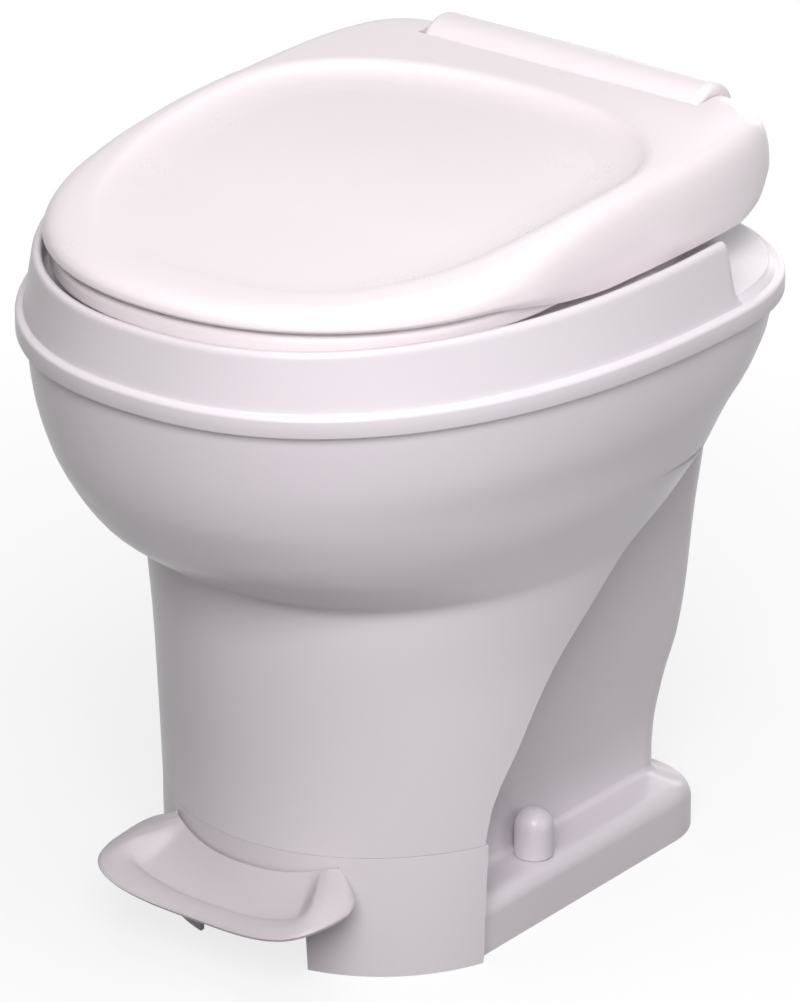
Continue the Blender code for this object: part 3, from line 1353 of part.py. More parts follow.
def build_bearing(name, side, kinds):
    """Bearing block for the pedal shaft, standing on the mechanism plate."""
    low = plate_top() + CLEARANCE
    high = low + BEARING_FOOT
    profile = [(PIVOT_Y - BEARING_FOOT_HALF, low), (PIVOT_Y + BEARING_FOOT_HALF, low)]
    profile += [(PIVOT_Y + BEARING_FOOT_HALF, high)]
    profile += arc((PIVOT_Y, PIVOT_Z), BEARING_HUB_RADIUS, -10, 190, 12)
    profile += [(PIVOT_Y - BEARING_FOOT_HALF, high)]
    start = side * BEARING_INNER_X
    end = side * BEARING_OUTER_X
    block = prism(name, profile, "X", start, end, kinds["inner_plastic"])
    reach = (start - side * OVERRUN, end + side * OVERRUN)
    bore = PEDAL_SHAFT_RADIUS + CLEARANCE
    return cut(block, rod("bearing_bore", "X", pivot_centre(), bore, *reach, kinds["steel"], ROUND_STEPS))


def build_cam(kinds):
    """Short arm on the pedal shaft that lifts the water valve plunger."""
    tip = (PIVOT_Y + CAM_REACH, PIVOT_Z)
    profile = arc((PIVOT_Y, PIVOT_Z), CAM_HUB_RADIUS, 30, 330, 14)
    profile += arc(tip, CAM_TIP_RADIUS, -100, 100, 8)
    cam = prism("valve_cam", profile, "X", -CAM_OUTER_X, -CAM_INNER_X, kinds["inner_plastic"])
    reach = (-CAM_OUTER_X - OVERRUN, -CAM_INNER_X + OVERRUN)
    bore = PEDAL_SHAFT_RADIUS + CLEARANCE
    cut(cam, rod("cam_bore", "X", pivot_centre(), bore, *reach, kinds["steel"], ROUND_STEPS))
    return pivot_at(cam, pivot_centre())


def build_spring(kinds):
    """Wound return spring round the pedal shaft."""
    steps = SPRING_TURNS * SPRING_TURN_STEPS
    angles = np.linspace(0, 2 * math.pi * SPRING_TURNS, steps + 1)
    x = SPRING_X + SPRING_LENGTH * angles / angles[-1]
    y = PIVOT_Y + SPRING_RADIUS * np.cos(angles)
    z = PIVOT_Z + SPRING_RADIUS * np.sin(angles)
    route = np.column_stack([x, y, z])
    rings = []
    for k, point in enumerate(route):
        spoke = np.array([0, math.cos(angles[k]), math.sin(angles[k])])
        across = np.array([1.0, 0, 0])
        lean = np.arange(4) * math.pi / 2
        rings.append(point + SPRING_WIRE * (np.outer(np.cos(lean), across) + np.outer(np.sin(lean), spoke)))
    return loft("return_spring", rings, kinds["steel"])


def pedal_stations():
    """Outer and inner edge points of the tread from its left horn to its right horn."""
    skirt = skirt_plan(PEDAL_EDGES[0][-1], -PEDAL_SKIRT_GAP, np.radians(np.linspace(-179, -1, 357)))
    right = []
    for outer_x, outer_y, outer_z, inner_x, inner_z in PEDAL_EDGES:
        inner_y = float(np.interp(inner_x, skirt[:, 0], skirt[:, 1]))
        right.append((np.array([outer_x, outer_y, outer_z]), np.array([inner_x, inner_y, inner_z])))
    mirror = np.array([-1, 1, 1])
    left = [(outer * mirror, inner * mirror) for outer, inner in reversed(right[1:])]
    return left + right


def build_pedal(kinds):
    """Crescent tread wrapped round the skirt, with an arm and hub on the pedal shaft."""
    plastic = kinds["shell_plastic"]
    rings = []
    for outer, inner in pedal_stations():
        ring = []
        for span, ramp, roll in PEDAL_PROFILE_SHARES:
            point = outer + span * (inner - outer)
            point[2] = outer[2] + ramp * (inner[2] - outer[2]) + roll * PEDAL_ROLL
            ring.append(point)
        rings.append(np.array(ring))
    pedal = loft("foot_pedal", rings, plastic)
    arm = [(PEDAL_ARM_FRONT_Y, PEDAL_ARM_BOTTOM_Z)]
    arm += [(PIVOT_Y - PEDAL_HUB_RADIUS, PIVOT_Z - PEDAL_ARM_THICKNESS)]
    arm += arc((PIVOT_Y, PIVOT_Z), PEDAL_HUB_RADIUS, -140, 140, 14)
    arm += [(SKIRT_TOP_FRONT, PEDAL_ARM_TOP_Z)]
    arm += [(PEDAL_ARM_FRONT_Y, PEDAL_ARM_TOP_Z - PEDAL_ARM_THICKNESS)]
    web = prism("pedal_arm", arm, "X", -PEDAL_ARM_HALF, PEDAL_ARM_HALF, plastic)
    join(pedal, web)
    reach = PEDAL_ARM_HALF + OVERRUN
    bore = PEDAL_SHAFT_RADIUS + CLEARANCE
    cut(pedal, rod("pedal_bore", "X", pivot_centre(), bore, -reach, reach, plastic, ROUND_STEPS))
    return pivot_at(pedal, pivot_centre())


def build_plate(kinds):
    """Plate that carries the bearings, with the discharge hole."""
    middle = (PLATE_FRONT_Y + PLATE_REAR_Y) / 2
    depth = (PLATE_REAR_Y - PLATE_FRONT_Y) / 2
    outline = rounded_box((0, middle), PLATE_HALF, depth, PLATE_CORNER)
    top = plate_top()
    plate = prism("mechanism_plate", outline, "Z", PLATE_BOTTOM_Z, top, kinds["inner_plastic"])
    reach = (-OVERRUN, top + OVERRUN)
    hole = rod("plate_hole", "Z", outlet_centre(), PLATE_HOLE_RADIUS, *reach, kinds["steel"], HOUSING_STEPS)
    return cut(plate, hole)


def build_discharge(kinds):
    """Outlet horn over the housing spigot, with a floor flange."""
    bore = OUTLET_RADIUS + HOUSING_WALL + CLEARANCE
    outer = bore + WALL
    low = DISCHARGE_FLANGE_Z
    top = HOUSING_CONE_END_Z - 2 * WALL
    profile = (
        (OUTLET_RADIUS, low),
        (DISCHARGE_FLANGE_RADIUS, low),
        (DISCHARGE_FLANGE_RADIUS, low + DISCHARGE_FLANGE),
        (outer, low + DISCHARGE_FLANGE),
        (outer, top),
        (bore, top),
        (bore, HOUSING_END_Z - WALL),
        (OUTLET_RADIUS, HOUSING_END_Z - 2 * WALL),
    )
    return outlet_ring("discharge_horn", profile, kinds["dark_plastic"])


def build_floor_seal(kinds):
    """Soft ring between the floor flange and the floor."""
    top = DISCHARGE_FLANGE_Z - CLEARANCE
    inner = OUTLET_RADIUS + WALL / 2
    outer = DISCHARGE_FLANGE_RADIUS - WALL / 3
    edge = WALL / 2
    profile = (
        (inner, 0),
        (outer - edge, 0),
        (outer, edge),
        (outer, top - edge),
        (outer - edge, top),
        (inner, top),
    )
    return outlet_ring("floor_seal", profile, kinds["rubber"])


def build_water_valve(kinds):
    """Valve block with a bore for its plunger and two hose barbs."""
    plastic = kinds["inner_plastic"]
    outline = rounded_box((VALVE_X, VALVE_Y), VALVE_HALF_X, VALVE_HALF_Y, VALVE_EDGE)
    body = prism("water_valve", outline, "Z", VALVE_BOTTOM_Z, VALVE_TOP_Z, plastic)
    barb_z = (VALVE_BOTTOM_Z + 2 * VALVE_TOP_Z) / 3
    start = VALVE_Y + VALVE_HALF_Y - VALVE_EDGE
    end = VALVE_Y + VALVE_HALF_Y + BARB_LENGTH
    inlet = rod("valve_inlet_barb", "Y", (VALVE_X, 0, barb_z), BARB_RADIUS, start, end, plastic)
    centre = (VALVE_X, VALVE_Y, 0)
    high = VALVE_TOP_Z - VALVE_EDGE
    end = VALVE_TOP_Z + BARB_LENGTH
    outlet = rod("valve_outlet_barb", "Z", centre, BARB_RADIUS, high, end, plastic)
    join(body, inlet, outlet)
    low = VALVE_BOTTOM_Z - OVERRUN
    end = PLUNGER_TOP_Z + CAM_REACH * math.radians(PEDAL_TRAVEL_DEG) + 2 * CLEARANCE
    return cut(body, rod("valve_bore", "Z", centre, PLUNGER_RADIUS + CLEARANCE, low, end, kinds["steel"]))


def build_plunger(kinds):
    """Plunger lifted by the cam tip."""
    low = PIVOT_Z + CAM_TIP_RADIUS + CLEARANCE
    profile = (
        (PLUNGER_HEAD_RADIUS - CLEARANCE, low),
        (PLUNGER_HEAD_RADIUS, low + CLEARANCE),
        (PLUNGER_HEAD_RADIUS, low + PLUNGER_HEAD),
        (PLUNGER_RADIUS, low + PLUNGER_HEAD),
        (PLUNGER_RADIUS, PLUNGER_TOP_Z),
    )
    plunger = revolve("valve_plunger", profile, (VALVE_X, VALVE_Y, 0), "Z", kinds["brass"], steps=SMALL_STEPS)
    return pivot_at(plunger, (VALVE_X, VALVE_Y, low))


def build_inlet_fitting(kinds):
    """Threaded water inlet through the rear wall of the column."""
    wall = inlet_wall_y()
    inside = wall - WALL - CLEARANCE
    profile = (
        (BARB_RADIUS, inside - INLET_FLANGE - BARB_LENGTH),
        (BARB_RADIUS, inside - INLET_FLANGE),
        (INLET_HEX_RADIUS, inside - INLET_FLANGE),
        (INLET_HEX_RADIUS, inside),
        (INLET_RADIUS, inside),
        (INLET_RADIUS, wall + INLET_TAIL - CLEARANCE * 3),
        (INLET_RADIUS - CLEARANCE * 3, wall + INLET_TAIL),
    )
    centre = (INLET_X, 0, INLET_Z)
    fitting = revolve("inlet_fitting", profile, centre, "Y", kinds["brass"], steps=BARREL_STEPS)
    start = inside - INLET_FLANGE / 2
    end = wall + INLET_TAIL + OVERRUN
    return cut(fitting, rod("inlet_bore", "Y", centre, INLET_RADIUS - WALL, start, end, kinds["brass"]))


def build_inlet_nut(kinds):
    """Hex nut that holds the inlet to the column wall."""
    start = inlet_wall_y() + 2 * CLEARANCE
    outline = hexagon((INLET_X, INLET_Z), INLET_HEX_RADIUS)
    nut = prism("inlet_nut", outline, "Y", start, start + INLET_NUT, kinds["brass"])
    reach = (start - OVERRUN, start + INLET_NUT + OVERRUN)
    bore = INLET_RADIUS + CLEARANCE
    centre = (INLET_X, 0, INLET_Z)
    return cut(nut, rod("inlet_nut_bore", "Y", centre, bore, *reach, kinds["brass"], BARREL_STEPS))


def build_breaker(kinds):
    """Vacuum breaker high in the water line, with a vented cap."""
    low = BREAKER_BOTTOM_Z
    high = BREAKER_TOP_Z
    profile = (
        (BARB_RADIUS, low - BARB_LENGTH),
        (BARB_RADIUS, low),
        (BREAKER_RADIUS / 2, low),
        (BREAKER_RADIUS, low + BREAKER_RADIUS / 2),
        (BREAKER_RADIUS, high - 3 * WALL),
        (BREAKER_RADIUS - WALL / 2, high - 3 * WALL),
        (BREAKER_RADIUS - WALL / 2, high - 2 * WALL),
        (BREAKER_RADIUS + WALL / 2, high - 2 * WALL),
        (BREAKER_RADIUS + WALL / 2, high - WALL / 2),
        (BREAKER_RADIUS - WALL / 2, high),
    )
    body = revolve("vacuum_breaker", profile, (0, BREAKER_Y, 0), "Z", kinds["inner_plastic"])
    centre = (0, BREAKER_Y, (low + high) / 2)
    reach = (BREAKER_RADIUS / 2, BREAKER_RADIUS + BARB_LENGTH)
    return join(body, rod("breaker_barb", "X", centre, BARB_RADIUS, *reach, kinds["inner_plastic"]))


def build_nozzle(kinds):
    """Rinse nozzle through the rear wall of the bowl."""
    wall = float(smooth(NOZZLE_Z, BOWL_Z, BOWL_REAR))
    flange = wall + BOWL_WALL + WALL
    profile = (
        (NOZZLE_RADIUS - WALL, wall - 2 * WALL),
        (NOZZLE_RADIUS, wall - WALL),
        (NOZZLE_RADIUS, flange),
        (NOZZLE_RADIUS + WALL, flange),
        (NOZZLE_RADIUS + WALL, flange + WALL),
        (BARB_RADIUS, flange + WALL),
        (BARB_RADIUS, flange + WALL + NOZZLE_BARB),
    )
    return revolve("rinse_nozzle", profile, (0, 0, NOZZLE_Z), "Y", kinds["inner_plastic"], steps=BARREL_STEPS)


def build_tubes(kinds):
    """Three short hoses: inlet to valve, valve to breaker, breaker to nozzle."""
    barb_z = (VALVE_BOTTOM_Z + 2 * VALVE_TOP_Z) / 3
    valve_y = VALVE_Y + VALVE_HALF_Y + 2 * CLEARANCE
    inlet_y = inlet_wall_y() - WALL - INLET_FLANGE - 3 * CLEARANCE
    straight = 2 * BARB_LENGTH
    beside = OUTLET_Y + HOUSING_RADIUS
    feed = (
        (VALVE_X, valve_y, barb_z),
        (VALVE_X, valve_y + straight, barb_z),
        (VALVE_X, beside, (2 * barb_z + INLET_Z) / 3),
        (INLET_X - straight, inlet_y - straight - BARB_LENGTH, INLET_Z - BARB_LENGTH),
        (INLET_X, inlet_y - straight, INLET_Z),
        (INLET_X, inlet_y, INLET_Z),
    )
    breaker_low = BREAKER_BOTTOM_Z - 2 * CLEARANCE
    rise = (
        (VALVE_X, VALVE_Y, VALVE_TOP_Z + 2 * CLEARANCE),
        (VALVE_X, VALVE_Y, VALVE_TOP_Z + straight),
        (VALVE_X, beside, (VALVE_TOP_Z + BREAKER_BOTTOM_Z) / 2),
        (0, BREAKER_Y, breaker_low - straight),
        (0, BREAKER_Y, breaker_low),
    )
    level = (BREAKER_BOTTOM_Z + BREAKER_TOP_Z) / 2
    side = BREAKER_RADIUS + 2 * CLEARANCE
    nozzle_y = float(smooth(NOZZLE_Z, BOWL_Z, BOWL_REAR)) + BOWL_WALL + 2 * WALL + 2 * CLEARANCE
    rinse = (
        (side, BREAKER_Y, level),
        (side + straight, BREAKER_Y, level),
        (side + straight + BARB_LENGTH, BREAKER_Y, (level + NOZZLE_Z) / 2),
        (side + BARB_LENGTH, BREAKER_Y, NOZZLE_Z),
        (0, nozzle_y + straight, NOZZLE_Z),
        (0, nozzle_y, NOZZLE_Z),
    )
    for name, route in (("supply_hose", feed), ("rise_hose", rise), ("rinse_hose", rinse)):
        swept_tube(name, route, TUBE_RADIUS, TUBE_BORE, kinds["hose"])


def build_bolt_set(side_name, side, kinds):
    """Closet bolt, washer, nut and snap cap on one side of the foot."""
    x = side * BOLT_X
    centre = (x, BOLT_Y, 0)
    bolt_profile = (
        (BOLT_HEAD_RADIUS, 0),
        (BOLT_HEAD_RADIUS, BOLT_HEAD),
        (BOLT_RADIUS, BOLT_HEAD),
        (BOLT_RADIUS, BOLT_TOP_Z - 3 * CLEARANCE),
        (BOLT_RADIUS - 3 * CLEARANCE, BOLT_TOP_Z),
    )
    revolve("closet_bolt_" + side_name, bolt_profile, centre, "Z", kinds["brass"], steps=SMALL_STEPS)
    bore = BOLT_RADIUS + CLEARANCE
    low = FOOT_Z + CLEARANCE
    profile = ((bore, low), (WASHER_RADIUS, low), (WASHER_RADIUS, low + WASHER), (bore, low + WASHER))
    revolve("bolt_washer_" + side_name, profile, centre, "Z", kinds["steel"], hollow=True)
    nut_low = low + WASHER + CLEARANCE
    outline = hexagon((x, BOLT_Y), NUT_RADIUS)
    nut = prism("bolt_nut_" + side_name, outline, "Z", nut_low, nut_low + NUT, kinds["steel"])
    reach = (nut_low - OVERRUN, nut_low + NUT + OVERRUN)
    cut(nut, rod("nut_bore", "Z", centre, bore, *reach, kinds["steel"]))
    inner = CAP_RADIUS - CAP_WALL
    spring_z = low + CAP_HEIGHT - CAP_RADIUS
    profile = arc((0, spring_z), inner, CAP_POLE_DEG, 0, 3)
    profile += [(inner, low), (CAP_RADIUS, low)]
    profile += arc((0, spring_z), CAP_RADIUS, 0, CAP_POLE_DEG, 4)
    revolve("bolt_cap_" + side_name, profile, centre, "Z", kinds["shell_plastic"])


def build_toilet():
    """All nodes of the toilet."""
    clear_scene()
    kinds = build_materials()
    build_collar(kinds)
    build_shell(kinds)
    build_skirt(kinds)
    build_rear_base(kinds)
    build_bowl(kinds)
    build_lid(kinds)
    build_seat(kinds)
    build_hinge_cover(kinds)
    for name, side in (("left", -1), ("right", 1)):
        build_hinge_bracket("hinge_bracket_" + name, side, kinds)
        build_hinge_pin("hinge_pin_" + name, side, kinds)
        point = (side * bracket_screw_x(), bracket_screw_y(), REAR_DECK_Z + BRACKET_FOOT + CLEARANCE)
        screw("bracket_screw_" + name, point, kinds["steel"])
        build_lid_buffer("lid_buffer_" + name, side * LID_BUFFER_X, kinds)
        for place, (x, y) in zip(("front", "rear"), SEAT_BUFFERS):
            build_seat_buffer("seat_buffer_" + place + "_" + name, side * x, y, kinds)
        build_bushing("shaft_bushing_" + name, side, kinds)
        build_bearing("pedal_bearing_" + name, side, kinds)
        build_bolt_set(name, side, kinds)
    build_ball(kinds)
    build_ball_seal(kinds)
    build_housing_upper(kinds)
    build_housing_lower(kinds)
    for name, (x, y) in zip(("front", "rear"), housing_screw_points()):
        screw("housing_screw_" + name, (x, y, BALL_Z + HOUSING_FLANGE + CLEARANCE), kinds["steel"])
    build_valve_shaft(kinds)
    build_idler_pin(kinds)
    build_pinion(kinds)
    build_sector(kinds)
    build_pedal_shaft(kinds)
    build_cam(kinds)
    build_spring(kinds)
    build_pedal(kinds)
    build_plate(kinds)
    build_discharge(kinds)
    build_floor_seal(kinds)
    build_water_valve(kinds)
    build_plunger(kinds)
    build_inlet_fitting(kinds)
    build_inlet_nut(kinds)
    build_breaker(kinds)
    build_nozzle(kinds)
    build_tubes(kinds)


build_toilet()
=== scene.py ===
import math

import bmesh
import bpy
import numpy as np
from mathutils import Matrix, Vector


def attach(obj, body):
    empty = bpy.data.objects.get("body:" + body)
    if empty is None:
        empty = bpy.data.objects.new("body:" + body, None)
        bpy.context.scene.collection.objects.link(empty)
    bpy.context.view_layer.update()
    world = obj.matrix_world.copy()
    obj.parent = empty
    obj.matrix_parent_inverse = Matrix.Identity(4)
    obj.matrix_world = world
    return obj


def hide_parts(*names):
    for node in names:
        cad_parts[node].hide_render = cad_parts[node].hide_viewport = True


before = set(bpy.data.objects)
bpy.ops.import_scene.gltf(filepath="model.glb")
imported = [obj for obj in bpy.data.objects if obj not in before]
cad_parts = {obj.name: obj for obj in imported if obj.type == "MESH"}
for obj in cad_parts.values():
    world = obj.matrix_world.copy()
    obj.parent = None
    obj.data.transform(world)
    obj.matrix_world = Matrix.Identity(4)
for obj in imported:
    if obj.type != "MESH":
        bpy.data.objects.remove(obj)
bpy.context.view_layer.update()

# Walls, edges and rounding
WALL = 0.0030
EDGE = 0.0009
SOFT_EDGE = 0.0014
CLEARANCE = 0.0003
OVERRUN = 0.0040

# Plan outlines: half width, front, rear, centre, and the roundness in front of it and behind it
RIM_FRONT = -0.2121
RIM_REAR = 0.2121
RIM_POWERS = (2.27, 2.65)
LID_CENTRE = -0.0300
LID_POWER = 2.15
RIM = (0.1940, RIM_FRONT, RIM_REAR, 0.0747, *RIM_POWERS)
MOUTH = (0.1120, -0.1500, 0.1180, -0.0050, 2, 2)
LID = (0.1555, -0.1942, 0.2085, LID_CENTRE, LID_POWER, 7)
DISH = (0.1390, -0.1640, 0.1445, 0.0400, 2.7, 2.35)
SEAT = (0.1500, -0.1926, 0.1560, LID_CENTRE, LID_POWER, 2.8)
SEAT_HOLE = (0.1000, -0.1300, 0.0850, LID_CENTRE, LID_POWER, 2)

# Rim collar, as in the solids
LIP_BOTTOM_Z = 0.3672
LIP_TOP_Z = 0.3790
LIP_ROUND = 0.0023
LIP_INSET = 0.0048
BAND_TOP_Z = 0.4116
BAND_SLOPE = 0.0236
BAND_INSET = 0.0106
BAND_ROUND = 0.0026
BAND_THICKNESS = 0.0046
DECK_Z = 0.3995
REAR_DECK_Z = 0.3840
DECK_THICKNESS = 0.0034
NOTCH_Y = 0.0830
NOTCH_RUN = 0.0110
STEP_LEAD = 0.0400
MOUTH_SKIRT_Z = 0.3793
MOUTH_RIM = 0.0130
MOUTH_STEP_SHARES = (1.0, 0.55, 0.15)

# Roundings of the band in shares of BAND_ROUND: inwards, then down from its top or up from the deck
BAND_OUTER_SHARES = ((-0.5, 1.9), (-0.38, 1.15), (-0.2, 0.62), (0.05, 0.28), (0.35, 0.08), (0.7, 0))
BAND_INNER_SHARES = ((-0.7, 0), (-0.35, 0.08), (-0.1, 0.3), (0.05, 0.8), (0.12, 1.6))
BAND_FOOT_SHARES = ((0.3, 1.2), (0.5, 0.4), (0.9, 0.08), (1.4, 0))
BAND_SIDE_SHARES = np.linspace(0.06, 0.94, 7)

# Front shell sections from the bottom up: height, half width, front, rear and centre
SEAM_Z = 0.0756
SHELL_SECTIONS = (
    (SEAM_Z + CLEARANCE / 2, 0.1284, -0.1204, 0.1614, 0.0205),
    (0.1200, 0.1296, -0.1210, 0.1640, 0.0215),
    (0.1700, 0.1320, -0.1222, 0.1700, 0.0250),
    (0.2050, 0.1360, -0.1228, 0.1745, 0.0280),
    (0.2260, 0.1390, -0.1235, 0.1765, 0.0300),
    (0.2320, 0.1402, -0.1270, 0.1770, 0.0310),
    (0.2380, 0.1425, -0.1375, 0.1775, 0.0325),
    (0.2460, 0.1460, -0.1500, 0.1785, 0.0345),
    (0.2620, 0.1540, -0.1700, 0.1810, 0.0385),
    (0.2800, 0.1637, -0.1836, 0.1849, 0.0439),
    (0.3050, 0.1729, -0.1975, 0.1902, 0.0532),
    (0.3300, 0.1829, -0.2036, 0.1984, 0.0644),
    (0.3520, 0.1872, -0.2058, 0.2051, 0.0724),
    (LIP_BOTTOM_Z - CLEARANCE, 0.1882, -0.2062, 0.2066, 0.0744),
)
SHELL_Z, *SHELL_SIZES = zip(*SHELL_SECTIONS)
SHELL_LOW_POWER = 1.99

# Sweeping rear edge of the front shell: height and depth
SWEEP_Z = (
    (0.0700, 0.0950, 0.1100, 0.1320, 0.1550, 0.1760, 0.1940)
    + (0.2140, 0.2300, 0.2430, 0.2560, 0.2680, 0.2780, 0.2860)
)
SWEEP_Y = (
    (-0.0430, -0.0395, -0.0345, -0.0235, -0.0125, 0.0000, 0.0150)
    + (0.0350, 0.0530, 0.0710, 0.0920, 0.1130, 0.1400, 0.2000)
)
SHELL_INSIDE = (0, 0.03, 0.25)

# Front skirt, from the floor to the seam
SKIRT_FRONT = (-0.1128, -0.1204)
SKIRT_HALF = (0.1220, 0.1284)
SKIRT_POWER = (2.28, 1.99)
SKIRT_CENTRE = 0.0205
SKIRT_END_Y = -0.0400
PEDAL_OPENING_HALF = 0.0392
PEDAL_OPENING_Z = 0.0570

# Rear base: column sections from the top down, then the foot
COLUMN_Z = (0.2820, 0.2730, 0.2620, 0.2500, 0.2000, 0.1560, 0.1200, 0.0900, 0.0600, 0.0450)
COLUMN_HALF = (0.0990, 0.1055, 0.1060, 0.1045, 0.0955, 0.0905, 0.0868, 0.0818, 0.0772, 0.0762)
COLUMN_REAR = (0.1660, 0.1830, 0.1940, 0.2000, 0.2035, 0.2040, 0.2008, 0.1943, 0.1915, 0.1912)
COLUMN_CORNER = 0.0300
COLUMN_LAP = 0.0110
COLUMN_END_Y = 0.0800
COLUMN_FLARE = 0.0200
FLARE_GAP = 0.0015
FOOT_Z = 0.0320
FOOT_HALF = 0.1073
FOOT_REAR = 0.1990
FOOT_CORNER = 0.0450
FOOT_ROUND = 0.0100
FOOT_BACK_SHARE = 0.3
FOOT_FALL = 0.0090
FOOT_FALL_Y = 0.1580
FOOT_FALL_RUN = 0.0360
FOOT_START_Y = -0.0385
FOOT_TOP_SHARES = (0.12, 0.35, 0.6, 0.85)
FILLET = 0.0040
BASE_INSIDE = (0, 0.06, 0.12)

# Lid
LID_LOW_Y = (-0.2000, -0.0850, -0.0550, -0.0230, 0.0200, 0.1000, 0.1400, 0.1650, 0.1800, 0.2200)
LID_LOW_Z = (0.4210, 0.4206, 0.4165, 0.4100, 0.4055, 0.4045, 0.4045, 0.4100, 0.4175, 0.4250)
LID_TOP_Y = (-0.2000, -0.1500, -0.1200, -0.0700, -0.0300, 0.0200, 0.0750, 0.1200, 0.1600, 0.1900)
LID_TOP_Z = (0.4315, 0.4335, 0.4360, 0.4413, 0.4470, 0.4515, 0.4530, 0.4532, 0.4534, 0.4545)
DISH_Y = (-0.2000, -0.1400, -0.0800, 0.0200, 0.1000, 0.1600)
DISH_DEPTH = (0.0010, 0.0018, 0.0035, 0.0070, 0.0090, 0.0095)
LID_INSET = (0.0012, 0.0000, 0.0006, 0.0030, 0.0075, 0.0135, 0.0200)
LID_RISE_SHARES = (0.0, 0.16, 0.40, 0.68, 0.88, 0.975, 1.0)
LID_SIDE_SHARE = 0.9
DISH_INSET = (0.0, 0.0030, 0.0080, 0.0180, 0.0320)
DISH_DROP_SHARES = (0.0, 0.10, 0.50, 0.84, 1.0)
LID_BORDER_SHARES = (0.3, 0.6, 0.85)
DISH_ROW_SHARES = np.concatenate([np.linspace(0, 0.2, 9)[:-1], np.linspace(0.2, 1, 17)])
LID_MIDDLE_SHARES = (0.93, 0.84, 0.72, 0.58, 0.42, 0.26, 0.12, 0.03)
LID_INSIDE = (0, 0, 0.35)

# Seat hinge
HINGE_Y = 0.1905
HINGE_Z = 0.4400
HINGE = (HINGE_Y, HINGE_Z)
COVER_RADIUS = 0.0215
COVER_HALF = 0.0985
COVER_WALL = 0.0026
COVER_BEND = 0.0048
COVER_SPAN_DEG = 118
COVER_GAP = 0.0012
COVER_END_HOLE = 0.0050
PIN_RADIUS = 0.0040
PIN_OUTER_X = 0.1175
EAR_WALL_X = 0.1002
EAR_WALL = 0.0026
EAR_RADIUS = 0.0105
EAR_TOP = 0.0113
SEAT_HUB_X = 0.1036
SEAT_HUB_LENGTH = 0.0100
SEAT_HUB_RADIUS = 0.0068
LID_HUB_X = 0.1146
LID_HUB_LENGTH = 0.0052
LID_HUB_RADIUS = 0.0070
ARM_SWEEP_RADIUS = 0.0340

# Seat ring
SEAT_BOTTOM_Z = 0.4065
SEAT_TOP_Z = 0.4190
SEAT_ARM_FRONT_Y = 0.1060
SEAT_RIM_SHARES = (0.10, 0.0, 0.015, 0.10, 0.40, 0.80, 0.96, 1.0, 0.93)
SEAT_HEIGHT_SHARES = (0.0, 0.18, 0.70, 0.96, 1.0, 0.80, 0.52, 0.25, 0.0)

# Bowl sections from the throat up
BOWL_Z = (0.1620, 0.1750, 0.2000, 0.2350, 0.2750, 0.3200, 0.3600, 0.3790)
BOWL_HALF = (0.0300, 0.0350, 0.0500, 0.0690, 0.0870, 0.1020, 0.1100, 0.1135)
BOWL_FRONT = (0.0070, -0.0020, -0.0260, -0.0600, -0.0950, -0.1270, -0.1450, -0.1515)
BOWL_REAR = (0.0670, 0.0725, 0.0860, 0.1000, 0.1090, 0.1150, 0.1180, 0.1195)
BOWL_CENTRE = (0.0370, 0.0350, 0.0300, 0.0200, 0.0100, 0.0020, -0.0030, -0.0050)
BOWL_WALL = 0.0035
BOWL_LIP_WIDTH = 0.0100
BOWL_LIP = 0.0030
NOZZLE_Z = 0.3560
NOZZLE_RADIUS = 0.0060

# Pedal tread: outer x, y and z, then inner x and z, from the front centre to the horn tip
PIVOT_Y = -0.0450
PIVOT_Z = 0.0400
PIVOT = (PIVOT_Y, PIVOT_Z)
PEDAL_SKIRT_GAP = 0.0015
PEDAL_ROLL = 0.0048
PEDAL_EDGES = (
    (0.0000, -0.1615, 0.0415, 0.0000, 0.0610),
    (0.0180, -0.1622, 0.0420, 0.0130, 0.0612),
    (0.0345, -0.1635, 0.0434, 0.0250, 0.0620),
    (0.0500, -0.1640, 0.0456, 0.0350, 0.0634),
    (0.0625, -0.1628, 0.0483, 0.0425, 0.0650),
    (0.0715, -0.1592, 0.0510, 0.0480, 0.0664),
    (0.0770, -0.1535, 0.0530, 0.0515, 0.0675),
    (0.0803, -0.1455, 0.0543, 0.0540, 0.0685),
    (0.0820, -0.1358, 0.0549, 0.0560, 0.0687),
    (0.0822, -0.1258, 0.0555, 0.0575, 0.0688),
    (0.0793, -0.1160, 0.0570, 0.0587, 0.0689),
    (0.0725, -0.1092, 0.0600, 0.0596, 0.0690),
    (0.0635, -0.1058, 0.0640, 0.0600, 0.0691),
)
# Profile round the tread: across from the outer edge, up the ramp, and up or down the roll
PEDAL_SPAN_SHARES = (
    (0, 0.03, 0.09, 0.17, 0.26, 0.33, 0.42, 0.55, 0.78, 0.93, 1)
    + (1, 0.80, 0.60, 0.42, 0.20, 0.07, 0.02)
)
PEDAL_RAMP_SHARES = (0, 0, 0, 0, 0, 0.01, 0.03, 0.14, 0.52, 0.86, 1, 1, 0.60, 0.18, 0, 0, 0, 0)
PEDAL_ROLL_SHARES = (
    (0, 0.30, 0.62, 0.90, 1, 0.86, 0.14, -0.04, -0.06, 0, 0)
    + (-0.94, -0.94, -0.94, -1.04, -0.94, -0.60, -0.28)
)
